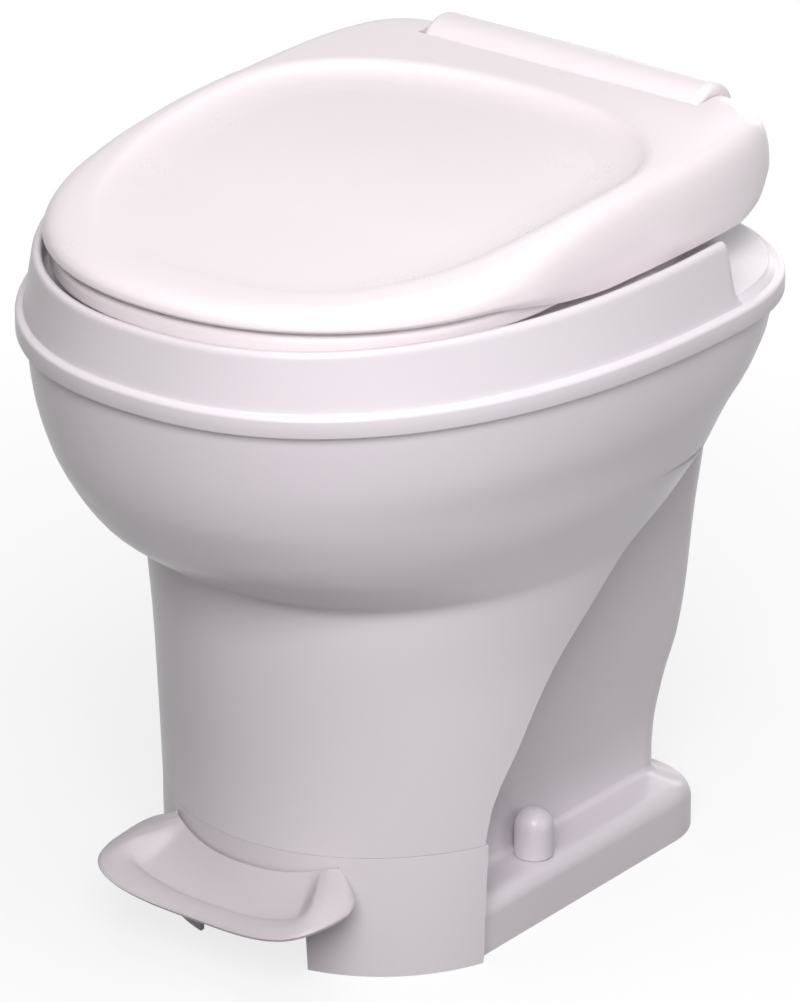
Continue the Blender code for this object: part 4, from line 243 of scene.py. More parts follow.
# The same for the horns, up to the inner edge
HORN_RAMP_SHARES = (0, 0, 0, 0.03, 0.09, 0.15, 0.24, 0.38, 0.67, 0.90, 1)
HORN_ROLL_SHARES = (0, 0.30, 0.62, 0.91, 1.10, 1.17, 1.18, 1.06, 0.62, 0.2, 0)
RECESS_END_STATION = 5.9
RECESS_BLEND_STATIONS = 1.7
HORN_THIN_STATION = 9.5
HORN_THIN_SHARE = 0.6
HORN_TIP = 0.0050
HORN_TIP_DEG = (20, 40, 60, 78)
PEDAL_ARM_HALF = 0.0330
PEDAL_ARM_TOP_Z = 0.0540
PEDAL_ARM_BOTTOM_Z = 0.0380
PEDAL_ARM_THICKNESS = 0.0060
PEDAL_ARM_FRONT_Y = -0.1300
PEDAL_HUB_RADIUS = 0.0110
PEDAL_SHAFT_BORE = 0.0053

# Bolt caps
BOLT_X = 0.0900
BOLT_Y = 0.0370
CAP_RADIUS = 0.0115
CAP_WALL = 0.0017
CAP_HEIGHT = 0.0295

# Noise limits that are stretched, and the pointiness of a rubbed edge
NOISE_ENDS = (0.3, 0.7)
RUBBED_POINTINESS = (0.57, 0.70)

# Shading of the inner nodes
WELD = 0.00001
SHARP_DEG = 34
NODE_EDGE = 0.00025

# Fineness of the meshes
MERGE = 1e-6
RIM_COLUMNS = 220
RIM_FINE_SPANS = ((1, 7.5, 0.4), (17, 31, 1.3))
DECK_ROWS = 16
SHELL_COLUMNS = 121
SHELL_SWEEP_ROWS = 84
SHELL_TOP_ROWS = 24
SWEEP_ANGLES = np.radians(np.linspace(-89, 90, 1800))
SWEEP_LEVELS = 900
CLOSED_DEG = 89.8
SKIRT_ROWS = 14
SKIRT_COLUMNS = 97
SKIRT_ANGLES = np.radians(np.linspace(-179.5, -0.5, 719))
TREAD_ANGLES = np.radians(np.linspace(-179, -1, 713))
FLARE_ANGLES = np.radians(np.linspace(-60, 60, 121))
COLUMN_ROWS = 68
SIDE_SHARES = np.linspace(0, 1, 12)
CORNER_STEPS = 14
LID_COLUMNS = 200
LID_FINE_SPANS = ((44, 74, 1.0),)
LID_ROW_STEP = 0.2
ROW_STEP = 0.25
BOWL_ROWS = 46
BOWL_COLUMNS = 144
CAP_COLUMNS = 64
TREAD_STATIONS = 90

# Studio
FLOOR_SIZE = 12.0
FLOOR_LIFT = 0.80
LIFT_REACH = (0.35, 1.50)
WORLD_LEVEL = 0.012
KEY_TINT = (1.0, 0.965, 0.978)
SIDE_TINT = (0.97, 0.965, 1.0)
# Lamps: name, place, height of the point they are turned to, width, power and tint
LAMPS = (
    ("overhead", (0.35, -0.20, 2.40), 0.30, 1.3, 21.0, KEY_TINT),
    ("key", (1.25, -1.65, 1.65), 0.25, 1.2, 50.0, KEY_TINT),
    ("side", (2.30, 0.30, 0.90), 0.22, 1.2, 8.0, SIDE_TINT),
    ("back", (-0.60, 2.20, 0.80), 0.22, 1.2, 10.0, SIDE_TINT),
)

# Plastics, in linear light: colour, tint, roughness, coat and, where they differ, peel and wear
PLASTICS = {
    "shell_plastic": ((0.780, 0.745, 0.775), (0.745, 0.700, 0.740), 0.30, 0.06),
    "pedal_plastic": ((0.680, 0.640, 0.665), (0.640, 0.595, 0.625), 0.38, 0.0, 0.00005, 0.5),
    "lid_plastic": ((0.925, 0.868, 0.888), (0.905, 0.845, 0.866), 0.28, 0.1),
    "bowl_plastic": ((0.820, 0.815, 0.800), (0.780, 0.770, 0.745), 0.16, 0.5),
    "inner_plastic": ((0.550, 0.550, 0.540), (0.480, 0.480, 0.470), 0.48, 0.0, 0.00008, 0.7),
    "dark_plastic": ((0.050, 0.050, 0.055), (0.036, 0.036, 0.040), 0.45, 0.0, 0.00008, 0.9),
}
# Metals: colour, stain, roughness and the stretch of their fine lines
METALS = {
    "steel": ((0.560, 0.560, 0.570), (0.420, 0.410, 0.400), 0.3, (1.0, 1.0, 9.0)),
    "brass": ((0.640, 0.450, 0.190), (0.420, 0.270, 0.110), 0.32, (1.0, 1.0, 6.0)),
}
RUBBER_COLOUR = (0.022, 0.022, 0.023)
HOSE_COLOUR = (0.720, 0.715, 0.690)
FLOOR_COLOUR = (0.210, 0.210, 0.211)

# Camera of the photograph
CAMERA_AZIMUTH = 37.949
CAMERA_ELEVATION = 23.584
CAMERA_DISTANCE = 3.9417
CAMERA_LENS = 251.08
CAMERA_SENSOR = 36
CAMERA_CLIP = (0.1, 60)
CAMERA_AIM = (0.0273, -0.0080, 0.2524)


def smooth(value, levels, values):
    """Monotone smooth curve through a table."""
    x = np.asarray(levels, float)
    y = np.asarray(values, float)
    if x[0] > x[-1]:
        x = x[::-1]
        y = y[::-1]
    step = np.diff(x)
    rise = np.diff(y) / step
    slope = np.zeros(len(x))
    same = rise[:-1] * rise[1:] > 0
    mean = 2 * rise[:-1] * rise[1:] / np.where(same, rise[:-1] + rise[1:], 1)
    slope[1:-1] = np.where(same, mean, 0)
    slope[0] = rise[0]
    slope[-1] = rise[-1]
    at = np.clip(np.asarray(value, float), x[0], x[-1])
    k = np.clip(np.searchsorted(x, at, side="right") - 1, 0, len(step) - 1)
    u = (at - x[k]) / step[k]
    keep = (1 + 2 * u) * (1 - u) ** 2 * y[k] + u * u * (3 - 2 * u) * y[k + 1]
    turn = u * (1 - u) ** 2 * slope[k] - u * u * (1 - u) * slope[k + 1]
    return keep + turn * step[k]


def ease(share):
    """Smooth step from nought to one."""
    held = np.clip(share, 0, 1)
    return held * held * (3 - 2 * held)


def mix(first, last, share):
    return first + (last - first) * share


def steps_through(values, step):
    """Even steps through a table, up to its last row."""
    return np.arange(0, len(values) - 1 + step / 2, step)


def along(step, values):
    """Smooth value at a step through a table."""
    return smooth(step, np.arange(len(values)), values)


def egg(outline, inset, angles):
    """Plan outline from its six values, moved inwards."""
    half, front, rear, centre, front_power, rear_power = outline
    cosine = np.abs(np.cos(angles))
    sine = np.sin(angles)
    power = np.where(sine < 0, front_power, rear_power)
    depth = np.where(sine < 0, centre - (front + inset), rear - inset - centre)
    reach = ((cosine / (half - inset)) ** power + (np.abs(sine) / depth) ** power) ** (-1 / power)
    return np.stack([reach * np.cos(angles), centre + reach * sine], axis=1)


def lifted(plan, height):
    """Plan outline lifted to one height or to a height for each point."""
    return np.column_stack([plan, np.broadcast_to(height, len(plan))])


def full_turn(count, fine=()):
    """Angles once round a plan outline from its front, closer together in the fine spans."""
    degrees = set(np.linspace(-90, 270, count, endpoint=False).round(4))
    for low, high, step in fine:
        for lean in np.arange(low, high, step).round(4):
            degrees |= {float(lean), float(180 - lean)}
    return np.radians(np.array(sorted(degrees)))


def arc(centre, radius, start, end, steps):
    """Points along a circular arc, its angles in degrees."""
    angles = np.radians(np.linspace(start, end, steps + 1))
    return [(centre[0] + radius * math.cos(a), centre[1] + radius * math.sin(a)) for a in angles]


def put(name, data):
    """New object in the scene."""
    made = bpy.data.objects.new(name, data)
    bpy.context.scene.collection.objects.link(made)
    return made


def mesh_piece(name, points, faces):
    """Piece from points and faces, merged where points meet, facing out where it is closed."""
    mesh = bpy.data.meshes.new(name)
    mesh.from_pydata([tuple(map(float, point)) for point in points], [], faces)
    piece = put(name, mesh)
    work = bmesh.new()
    work.from_mesh(mesh)
    bmesh.ops.remove_doubles(work, verts=work.verts, dist=MERGE)
    bmesh.ops.recalc_face_normals(work, faces=work.faces)
    if all(edge.is_manifold for edge in work.edges) and work.calc_volume(signed=True) < 0:
        bmesh.ops.reverse_faces(work, faces=work.faces)
    work.to_mesh(mesh)
    work.free()
    mesh.shade_smooth()
    return piece


def quads(rows, columns, round_row=False, round_column=False):
    """Faces between neighbouring rows of points."""
    faces = []
    for row in range(rows if round_column else rows - 1):
        above = (row + 1) % rows
        for column in range(columns if round_row else columns - 1):
            beside = (column + 1) % columns
            corners = ((row, column), (row, beside), (above, beside), (above, column))
            faces.append(tuple(line * columns + step for line, step in corners))
    return faces


def grid_piece(name, rows, round_row=False, round_column=False, ends=False):
    """Piece through rows of points; ends closes the first and last row."""
    count = len(rows[0])
    faces = quads(len(rows), count, round_row, round_column)
    if ends:
        faces.append(tuple(range(count)))
        faces.append(tuple(range((len(rows) - 1) * count, len(rows) * count)))
    return mesh_piece(name, np.concatenate(rows), faces)


def ring_piece(name, rows):
    """Closed solid through rings of points, the last ring joined to the first."""
    return grid_piece(name, rows, round_row=True, round_column=True)


def sheet(piece, inside, wall=WALL):
    """Turn a sheet so that it faces away from a point inside it, and give it its wall inwards."""
    work = bmesh.new()
    work.from_mesh(piece.data)
    score = 0
    for face in work.faces:
        score += (face.calc_center_median() - Vector(inside)).dot(face.normal) * face.calc_area()
    if score < 0:
        bmesh.ops.reverse_faces(work, faces=work.faces)
    work.to_mesh(piece.data)
    work.free()
    step = piece.modifiers.new("wall", "SOLIDIFY")
    step.thickness = wall
    step.offset = -1
    return piece


def round_edges(piece, width, angle=50, segments=3):
    """Small rounding on every sharp edge, with flat faces shaded flat."""
    step = piece.modifiers.new("round", "BEVEL")
    step.width = width
    step.segments = segments
    step.limit_method = "ANGLE"
    step.angle_limit = math.radians(angle)
    step.use_clamp_overlap = True
    weigh = piece.modifiers.new("weigh", "WEIGHTED_NORMAL")
    weigh.keep_sharp = False
    weigh.weight = 80
    return piece


def prism(name, outline, axis, start, end):
    """Flat outline pushed along an axis; pairs are (y, z), (x, z) or (x, y)."""
    flat = np.asarray(outline, float)
    rows = []
    for level in (start, end):
        pushed = np.full(len(flat), float(level))
        order = {
            "X": (pushed, flat[:, 0], flat[:, 1]),
            "Y": (flat[:, 0], pushed, flat[:, 1]),
            "Z": (flat[:, 0], flat[:, 1], pushed),
        }
        rows.append(np.column_stack(order[axis]))
    return grid_piece(name, rows, round_row=True, ends=True)


def cut(piece, outline, axis, start, end, operation="DIFFERENCE"):
    """Cut a bar with a flat outline out of a piece, or join it on."""
    bar = prism("bar", outline, axis, start, end)
    step = piece.modifiers.new("cut", "BOOLEAN")
    step.operation = operation
    step.solver = "EXACT"
    step.object = bar
    bpy.context.view_layer.objects.active = piece
    graph = bpy.context.evaluated_depsgraph_get()
    made = bpy.data.meshes.new_from_object(piece.evaluated_get(graph))
    piece.modifiers.clear()
    piece.data = made
    bpy.data.objects.remove(bar, do_unlink=True)
    piece.data.shade_smooth()


def join(piece, outline, axis, start, end):
    cut(piece, outline, axis, start, end, "UNION")


def drill(piece, centre, radius, axis, start, end):
    """Round hole along an axis; the centre is given across it."""
    cut(piece, arc(centre, radius, 0, 350, 35), axis, start, end)


def mouth_plan(grow, angles):
    return egg(MOUTH, -grow, angles)


def notched(plan, height, floor):
    """Height that falls to the low rear deck behind the notch."""
    return floor + (height - floor) * (1 - ease((plan[:, 1] - NOTCH_Y) / NOTCH_RUN))


def band_top(plan, drop, floor=REAR_DECK_Z):
    """Height of the raised band, which rises towards the rear and stops at the notch."""
    return notched(plan, BAND_TOP_Z - drop + BAND_SLOPE * (plan[:, 1] - RIM_FRONT), floor)


def deck_rows(angles, drop):
    """Rows across the deck from the band to the mouth's rim, with a step down behind the notch."""
    band = egg(RIM, BAND_INSET + BAND_THICKNESS + BAND_FOOT_SHARES[-1][0] * BAND_ROUND, angles)
    mouth = mouth_plan(MOUTH_RIM + WALL, angles)
    rows = []
    for share in np.linspace(0, 1, DECK_ROWS):
        plan = mix(band, mouth, share)
        height = notched(plan + (0, share * STEP_LEAD), DECK_Z, REAR_DECK_Z) - drop
        rows.append(lifted(plan, height))
    return rows


def rim_row(inset, height, angles):
    return lifted(egg(RIM, inset, angles), height)


def mouth_row(grow, height, angles):
    return lifted(mouth_plan(grow, angles), height)


def lip_rows(angles):
    """Rows from the flange lip's lower edge over its land to the fillet under the band."""
    side = arc((EDGE, LIP_BOTTOM_Z + EDGE), EDGE, 270, 180, 2)
    side += arc((LIP_ROUND, LIP_TOP_Z - LIP_ROUND), LIP_ROUND, 180, 90, 6)
    rows = [rim_row(*point, angles) for point in side]
    land = (LIP_ROUND + LIP_INSET) / 2
    fillet = LIP_INSET - land
    rows.append(rim_row(land, LIP_TOP_Z, angles))
    for inset, height in arc((LIP_INSET - fillet, LIP_TOP_Z + 2 * fillet), fillet, -70, 0, 4):
        plan = egg(RIM, inset, angles)
        rows.append(lifted(plan, notched(plan, height - fillet, LIP_TOP_Z)))
    low = LIP_TOP_Z + 2 * fillet
    start = BAND_INSET - BAND_ROUND / 2
    for share in BAND_SIDE_SHARES:
        plan = egg(RIM, mix(LIP_INSET, start, share), angles)
        high = band_top(plan, 2 * BAND_ROUND, mix(LIP_TOP_Z, REAR_DECK_Z, share))
        rows.append(lifted(plan, mix(np.minimum(low, high), high, share)))
    return rows


def band_rows(angles):
    """Rows over the raised band and down its inner side to the deck."""
    rows = []
    inner = BAND_INSET + BAND_THICKNESS
    for inset, shares in ((BAND_INSET, BAND_OUTER_SHARES), (inner, BAND_INNER_SHARES)):
        for share, drop in shares:
            plan = egg(RIM, inset + share * BAND_ROUND, angles)
            rows.append(lifted(plan, band_top(plan, drop * BAND_ROUND)))
    for share, rise in BAND_FOOT_SHARES:
        plan = egg(RIM, inner + share * BAND_ROUND, angles)
        rows.append(lifted(plan, notched(plan, DECK_Z + rise * BAND_ROUND, REAR_DECK_Z)))
    return rows


def mouth_rows(angles):
    """Rows from the deck over the mouth's rim, down inside it and back under the deck."""
    rows = []
    for share in MOUTH_STEP_SHARES:
        plan = mouth_plan(MOUTH_RIM + share * WALL, angles)
        floor = mix(REAR_DECK_Z, DECK_Z, (1 - share) ** 2)
        rows.append(lifted(plan, notched(plan + (0, STEP_LEAD), DECK_Z, floor)))
    rows += [mouth_row(grow, DECK_Z, angles) for grow in (MOUTH_RIM, MOUTH_RIM / 2)]
    for point in arc((SOFT_EDGE, DECK_Z - SOFT_EDGE), SOFT_EDGE, 90, 180, 4):
        rows.append(mouth_row(*point, angles))
    under = DECK_Z - DECK_THICKNESS
    rows += [mouth_row(grow, MOUTH_SKIRT_Z, angles) for grow in (0, WALL)]
    return rows + [mouth_row(grow, under, angles) for grow in (WALL, MOUTH_RIM - WALL)]


def make_collar():
    """Flange lip, raised band cut away at the rear, and the deck with the bowl mouth."""
    angles = full_turn(RIM_COLUMNS, RIM_FINE_SPANS)
    rings = lip_rows(angles) + band_rows(angles) + deck_rows(angles, 0)[1:-1]
    rings += mouth_rows(angles) + deck_rows(angles, DECK_THICKNESS)[:0:-1]
    under = egg(RIM, BAND_INSET + BAND_THICKNESS, angles)
    rings.append(lifted(under, notched(under, DECK_Z, REAR_DECK_Z) - DECK_THICKNESS))
    for height in (LIP_TOP_Z - LIP_ROUND, LIP_BOTTOM_Z):
        rings.append(rim_row(LIP_INSET + WALL, height, angles))
    return ring_piece("rim_collar_moulding", rings)


def shell_plan(height, inset, angles):
    """Front shell outline at a height, moved inwards."""
    sizes = [smooth(height, SHELL_Z, values) for values in SHELL_SIZES]
    share = (height - SHELL_Z[0]) / (SHELL_Z[-1] - SHELL_Z[0])
    powers = [mix(SHELL_LOW_POWER, power, share) for power in RIM_POWERS]
    return egg((*sizes, *powers), inset, angles)


def sweep_y(height):
    return float(smooth(height, SWEEP_Z, SWEEP_Y))


def edge_angle(height):
    """Angle at which the shell's outline meets the sweeping edge, or straight back above it."""
    if height >= SWEEP_Z[-1]:
        return math.pi / 2
    plan = shell_plan(height, 0, SWEEP_ANGLES)
    past = np.nonzero(plan[:, 1] >= sweep_y(height))[0]
    return float(SWEEP_ANGLES[past[0]]) if len(past) else math.pi / 2


def shell_levels():
    """Heights of the shell's rows: even steps along the sweeping edge, then up to the rim."""
    levels = np.linspace(SHELL_Z[0], SWEEP_Z[-1], SWEEP_LEVELS)
    ends = np.array([edge_angle(level) for level in levels])
    points = []
    for level, end in zip(levels, ends):
        points.append([*shell_plan(level, 0, np.array([end]))[0], level])
    length = np.concatenate([[0], np.cumsum(np.linalg.norm(np.diff(points, axis=0), axis=1))])
    closed = np.nonzero(ends > math.radians(CLOSED_DEG))[0]
    stop = closed[0] if len(closed) else len(levels) - 1
    low = np.interp(np.linspace(0, length[stop], SHELL_SWEEP_ROWS), length, levels)
    high = np.linspace(levels[stop], SHELL_Z[-1], SHELL_TOP_ROWS)[1:]
    return np.concatenate([low, high])


def make_shell():
    """Bowl shroud and leg in one skin behind a sweeping rear edge."""
    shares = np.linspace(-1, 1, SHELL_COLUMNS)
    rows = []
    for level in shell_levels():
        half_turn = edge_angle(level) + math.pi / 2
        rows.append(lifted(shell_plan(level, 0, -math.pi / 2 + shares * half_turn), level))
    return round_edges(sheet(grid_piece("front_shell_moulding", rows), SHELL_INSIDE), SOFT_EDGE)


def skirt_plan(height, inset, angles):
    """Skirt outline at a height, moved inwards."""
    share = height / SEAM_Z
    half, front, power = [mix(*ends, share) for ends in (SKIRT_HALF, SKIRT_FRONT, SKIRT_POWER)]
    return egg((half, front, 2 * SKIRT_CENTRE - front, SKIRT_CENTRE, power, power), inset, angles)


def make_skirt():
    """Low front skirt with the pedal opening."""
    rows = []
    for level in np.linspace(0, SEAM_Z - CLEARANCE / 2, SKIRT_ROWS):
        plan = skirt_plan(level, 0, SKIRT_ANGLES)
        kept = SKIRT_ANGLES[plan[:, 1] <= SKIRT_END_Y]
        angles = np.linspace(kept[0], kept[-1], SKIRT_COLUMNS)
        rows.append(lifted(skirt_plan(level, 0, angles), level))
    skirt = sheet(grid_piece("front_skirt_moulding", rows), (0, SKIRT_END_Y, SEAM_Z / 2))
    corner = 2 * OVERRUN
    opening = [(-PEDAL_OPENING_HALF, -OVERRUN), (PEDAL_OPENING_HALF, -OVERRUN)]
    opening += arc((PEDAL_OPENING_HALF - corner, PEDAL_OPENING_Z - corner), corner, 0, 90, 8)
    opening += arc((corner - PEDAL_OPENING_HALF, PEDAL_OPENING_Z - corner), corner, 90, 180, 8)
    cut(skirt, opening, "Y", RIM_FRONT, SKIRT_END_Y)
    return round_edges(skirt, EDGE)


def both_sides(right):
    return np.array(right + [(-x, y) for x, y in reversed(right)])


def column_path(half, rear, end_y, flare_x):
    """Open outline of the column: right flare, right side, round rear, left side, left flare."""
    flare_start = end_y + COLUMN_FLARE
    bend_y = rear - COLUMN_CORNER
    right = []
    for share in SIDE_SHARES:
        right.append((mix(flare_x, half, float(ease(share))), end_y + COLUMN_FLARE * share))
    right += [(half, mix(flare_start, bend_y, share)) for share in SIDE_SHARES[1:-1]]
    right += arc((half - COLUMN_CORNER, bend_y), COLUMN_CORNER, 0, 90, CORNER_STEPS)
    return both_sides(right)


def foot_path(inset):
    """Open outline of the foot with the same number of points as the column."""
    side = FOOT_HALF - inset
    back = FOOT_REAR - FOOT_BACK_SHARE * inset
    bend = FOOT_CORNER - inset
    shares = np.linspace(0, 1, 2 * len(SIDE_SHARES) - 1)[:-1]
    right = [(side, mix(FOOT_START_Y, back - bend, share)) for share in shares]
    right += arc((side - bend, back - bend), bend, 0, 90, CORNER_STEPS)
    return both_sides(right)


def fallen(path, height):
    """Height on the foot, lower round its rear."""
    return height - FOOT_FALL * ease((path[:, 1] - FOOT_FALL_Y) / FOOT_FALL_RUN)


def moved_in(path, inset):
    """Open outline moved inwards along its normals."""
    ahead = np.gradient(path, axis=0)
    ahead /= np.linalg.norm(ahead, axis=1)[:, None]
    return path + inset * np.column_stack([-ahead[:, 1], ahead[:, 0]])


def column_plan(height):
    """Column outline at a height, its front ends just inside the shell."""
    level = max(height, SHELL_Z[0])
    half = float(smooth(height, COLUMN_Z, COLUMN_HALF))
    rear = float(smooth(height, COLUMN_Z, COLUMN_REAR))
    end_y = min(sweep_y(level) - COLUMN_LAP, COLUMN_END_Y)
    plan = shell_plan(level, 2 * WALL + FLARE_GAP, FLARE_ANGLES)
    flare_x = max(float(np.interp(end_y, plan[:, 1], plan[:, 0])), half)
    return column_path(half, rear, end_y, flare_x)


def make_base():
    """Hollow column with a swept-out foot flange, one moulding."""
    rows = []
    for level in np.linspace(COLUMN_Z[0], COLUMN_Z[-1], COLUMN_ROWS):
        rows.append(lifted(column_plan(level), level))
    low = column_plan(COLUMN_Z[-1])
    for reach, height in arc((0, FOOT_Z + FILLET), FILLET, 180, 270, 6):
        plan = moved_in(low, -(FILLET + reach))
        rows.append(lifted(plan, fallen(plan, height)))
    shoulder = moved_in(low, -FILLET)
    edge = foot_path(FOOT_ROUND)
    for share in FOOT_TOP_SHARES:
        plan = mix(shoulder, edge, share)
        rows.append(lifted(plan, fallen(plan, FOOT_Z)))
    for inset, height in arc((FOOT_ROUND, FOOT_Z - FOOT_ROUND), FOOT_ROUND, 90, 180, 8):
        plan = foot_path(inset)
        rows.append(lifted(plan, fallen(plan, height)))
    rows.append(lifted(foot_path(0), (FOOT_Z - FOOT_ROUND - FOOT_FALL) / 2))
    rows.append(lifted(foot_path(0), 0))
    return round_edges(sheet(grid_piece("rear_base_moulding", rows), BASE_INSIDE), EDGE)


def polar(centre_y, reach, angles):
    """Plan points at a distance from a centre on the middle line."""
    return np.column_stack([reach * np.cos(angles), centre_y + reach * np.sin(angles)])


def from_centre(plan):
    """Distance of each plan point from the lid's centre."""
    return np.hypot(plan[:, 0], plan[:, 1] - LID_CENTRE)


def dish_reach(inset, angles):
    """Distance from the lid's centre to the dish outline, moved inwards, in each direction."""
    turn = np.linspace(0, 2 * math.pi, 1440, endpoint=False)
    plan = egg(DISH, inset, turn)
    around = np.arctan2(plan[:, 1] - LID_CENTRE, plan[:, 0])
    return np.interp(angles, around, from_centre(plan), period=2 * math.pi)


def lid_top(plan):
    return smooth(plan[:, 1], LID_TOP_Y, LID_TOP_Z)


def lid_skin(angles):
    """Rows from the lower edge over the rounded side, across the border and down into the dish."""
    outline = from_centre(egg(LID, 0, angles))
    side_width = np.minimum(LID_INSET[-1], LID_SIDE_SHARE * (outline - dish_reach(0, angles)))
    rows = []
    for step in steps_through(LID_INSET, LID_ROW_STEP):
        inset = float(along(step, LID_INSET))
        plan = polar(LID_CENTRE, outline - inset / LID_INSET[-1] * side_width, angles)
        low = smooth(plan[:, 1], LID_LOW_Y, LID_LOW_Z)
        rows.append(lifted(plan, mix(low, lid_top(plan), float(along(step, LID_RISE_SHARES)))))
    crest = outline - side_width
    brink = dish_reach(0, angles)
    for share in LID_BORDER_SHARES:
        plan = polar(LID_CENTRE, mix(crest, brink, share), angles)
        rows.append(lifted(plan, lid_top(plan)))
    floor = DISH_INSET[-1]
    for inset in DISH_ROW_SHARES * floor:
        plan = polar(LID_CENTRE, dish_reach(inset, angles), angles)
        drop = float(smooth(inset, DISH_INSET, DISH_DROP_SHARES))
        rows.append(lifted(plan, lid_top(plan) - drop * smooth(plan[:, 1], DISH_Y, DISH_DEPTH)))
    for share in LID_MIDDLE_SHARES:
        plan = polar(LID_CENTRE, share * dish_reach(floor, angles), angles)
        rows.append(lifted(plan, lid_top(plan) - smooth(plan[:, 1], DISH_Y, DISH_DEPTH)))
    return rows


def add_ear(lid, side):
    """Hinge wall and hub under one ear of the lid."""
    top = HINGE_Z + EAR_TOP
    web = [(HINGE_Y - EAR_RADIUS, top), (HINGE_Y + EAR_RADIUS / 3, top)]
    web += arc(HINGE, EAR_RADIUS, 30, -180, 24)
    join(lid, web, "X", side * (EAR_WALL_X + CLEARANCE), side * (EAR_WALL_X + EAR_WALL))
    lower = top - 2 * CLEARANCE
    hub = arc(HINGE, LID_HUB_RADIUS, -180, 0, 20)
    hub += [(HINGE_Y + LID_HUB_RADIUS / 2, lower), (HINGE_Y - LID_HUB_RADIUS, lower)]
    join(lid, hub, "X", side * LID_HUB_X, side * (LID_HUB_X + LID_HUB_LENGTH))


def clear_ear(lid, side):
    """Room under one ear for the seat's arm as it swings, and the bore for the pin."""
    gap = 2 * CLEARANCE
    slot = arc(HINGE, ARM_SWEEP_RADIUS, -160, -18, 24)
    slot += arc(HINGE, SEAT_HUB_RADIUS + 3 * CLEARANCE, -18, 200, 24)
    cut(lid, slot, "X", side * (SEAT_HUB_X - gap), side * (SEAT_HUB_X + SEAT_HUB_LENGTH + gap))
    drill(lid, HINGE, PIN_RADIUS + CLEARANCE, "X", side * COVER_HALF, side * (PIN_OUTER_X + gap))


def make_lid():
    """Domed lid with a dished panel, cut round the hinge cover, with hinge walls in both ears."""
    angles = full_turn(LID_COLUMNS, LID_FINE_SPANS)
    rows = lid_skin(angles)
    count = len(angles)
    faces = quads(len(rows), count, round_row=True)
    faces.append(tuple(range((len(rows) - 1) * count, len(rows) * count)))
    lid = sheet(mesh_piece("lid_moulding", np.concatenate(rows), faces), LID_INSIDE)
    radius = COVER_RADIUS + COVER_GAP
    swath = arc(HINGE, radius, 90, 200, 36)
    below = SEAT_BOTTOM_Z - 2 * OVERRUN
    past = RIM_REAR + OVERRUN
    swath += [(HINGE_Y - radius, below), (past, below), (past, HINGE_Z + radius)]
    cut(lid, swath, "X", -EAR_WALL_X, EAR_WALL_X)
    for side in (-1, 1):
        add_ear(lid, side)
    for side in (-1, 1):
        clear_ear(lid, side)
    return round_edges(lid, EDGE)


def seat_plan(share, angles):
    """Outline between the seat's outer edge and its hole."""
    return egg([mix(*ends, share) for ends in zip(SEAT, SEAT_HOLE)], 0, angles)


def make_seat():
    """Rounded ring with an arm and hub on each side of the hinge cover."""
    angles = full_turn(LID_COLUMNS)
    rings = []
    for step in steps_through(SEAT_RIM_SHARES, ROW_STEP):
        plan = seat_plan(float(along(step, SEAT_RIM_SHARES)), angles)
        share = float(along(step, SEAT_HEIGHT_SHARES))
        rings.append(lifted(plan, mix(SEAT_BOTTOM_Z, SEAT_TOP_Z, share)))
    seat = ring_piece("seat_moulding", rings)
    bend_y = HINGE_Y - 3 * SEAT_HUB_RADIUS
    low = SEAT_BOTTOM_Z + CLEARANCE
    high = SEAT_TOP_Z - CLEARANCE
    arm = [(SEAT_ARM_FRONT_Y, low), (bend_y, low), *arc(HINGE, SEAT_HUB_RADIUS, -120, 150, 30)]
    arm += [(bend_y, high), (SEAT_ARM_FRONT_Y, high)]
    for side in (-1, 1):
        start = side * SEAT_HUB_X
        join(seat, arm, "X", start, start + side * SEAT_HUB_LENGTH)
    reach = SEAT_HUB_X + SEAT_HUB_LENGTH + OVERRUN
    drill(seat, HINGE, PIN_RADIUS + CLEARANCE, "X", -reach, reach)
    return round_edges(seat, EDGE)


def make_cover():
    """Barrel cover over the brackets, with rounded closed ends, open below."""
    low = COVER_RADIUS - COVER_BEND
    stations = [(-COVER_HALF, mix(COVER_END_HOLE, low, share)) for share in (0, 0.5)]
    for x, radius in arc((0, 0), COVER_BEND, 180, 90, 8):
        stations.append((-COVER_HALF + COVER_BEND + x, low + radius))
    stations += [(x, COVER_RADIUS) for x in np.linspace(-COVER_HALF + 3 * COVER_BEND, 0, 8)]
    stations += [(-x, radius) for x, radius in reversed(stations[:-1])]
    rows = []
    for x, radius in stations:
        outer = np.array(arc(HINGE, radius, 90 + COVER_SPAN_DEG, 90 - COVER_SPAN_DEG, 72))
        rows.append(np.column_stack([np.full(len(outer), x), outer]))
    cover = grid_piece("hinge_cover_moulding", rows)
    return round_edges(sheet(cover, (0, HINGE_Y, HINGE_Z), COVER_WALL), EDGE)


def bowl_plan(height, grow, angles):
    tables = (BOWL_HALF, BOWL_FRONT, BOWL_REAR, BOWL_CENTRE)
    sizes = [smooth(height, BOWL_Z, values) for values in tables]
    return egg((*sizes, 2, 2), -grow, angles)


def make_bowl():
    """Bowl funnel from the lip under the deck to the round throat."""
    angles = full_turn(BOWL_COLUMNS)
    levels = np.linspace(BOWL_Z[0], BOWL_Z[-1], BOWL_ROWS)
    rings = [lifted(bowl_plan(level, 0, angles), level) for level in levels]
    top = BOWL_Z[-1]
    for grow, drop in ((BOWL_LIP_WIDTH, 0), (BOWL_LIP_WIDTH, BOWL_LIP), (BOWL_WALL, BOWL_LIP)):
        rings.append(lifted(bowl_plan(top, grow, angles), top - drop))
    rings += [lifted(bowl_plan(level, BOWL_WALL, angles), level) for level in reversed(levels[:-2])]
    bowl = ring_piece("bowl_moulding", rings)
    start = float(smooth(NOZZLE_Z, BOWL_Z, BOWL_REAR)) - 3 * BOWL_WALL
    drill(bowl, (0, NOZZLE_Z), NOZZLE_RADIUS + CLEARANCE, "Y", start, start + 6 * BOWL_WALL)
    return round_edges(bowl, EDGE / 2)


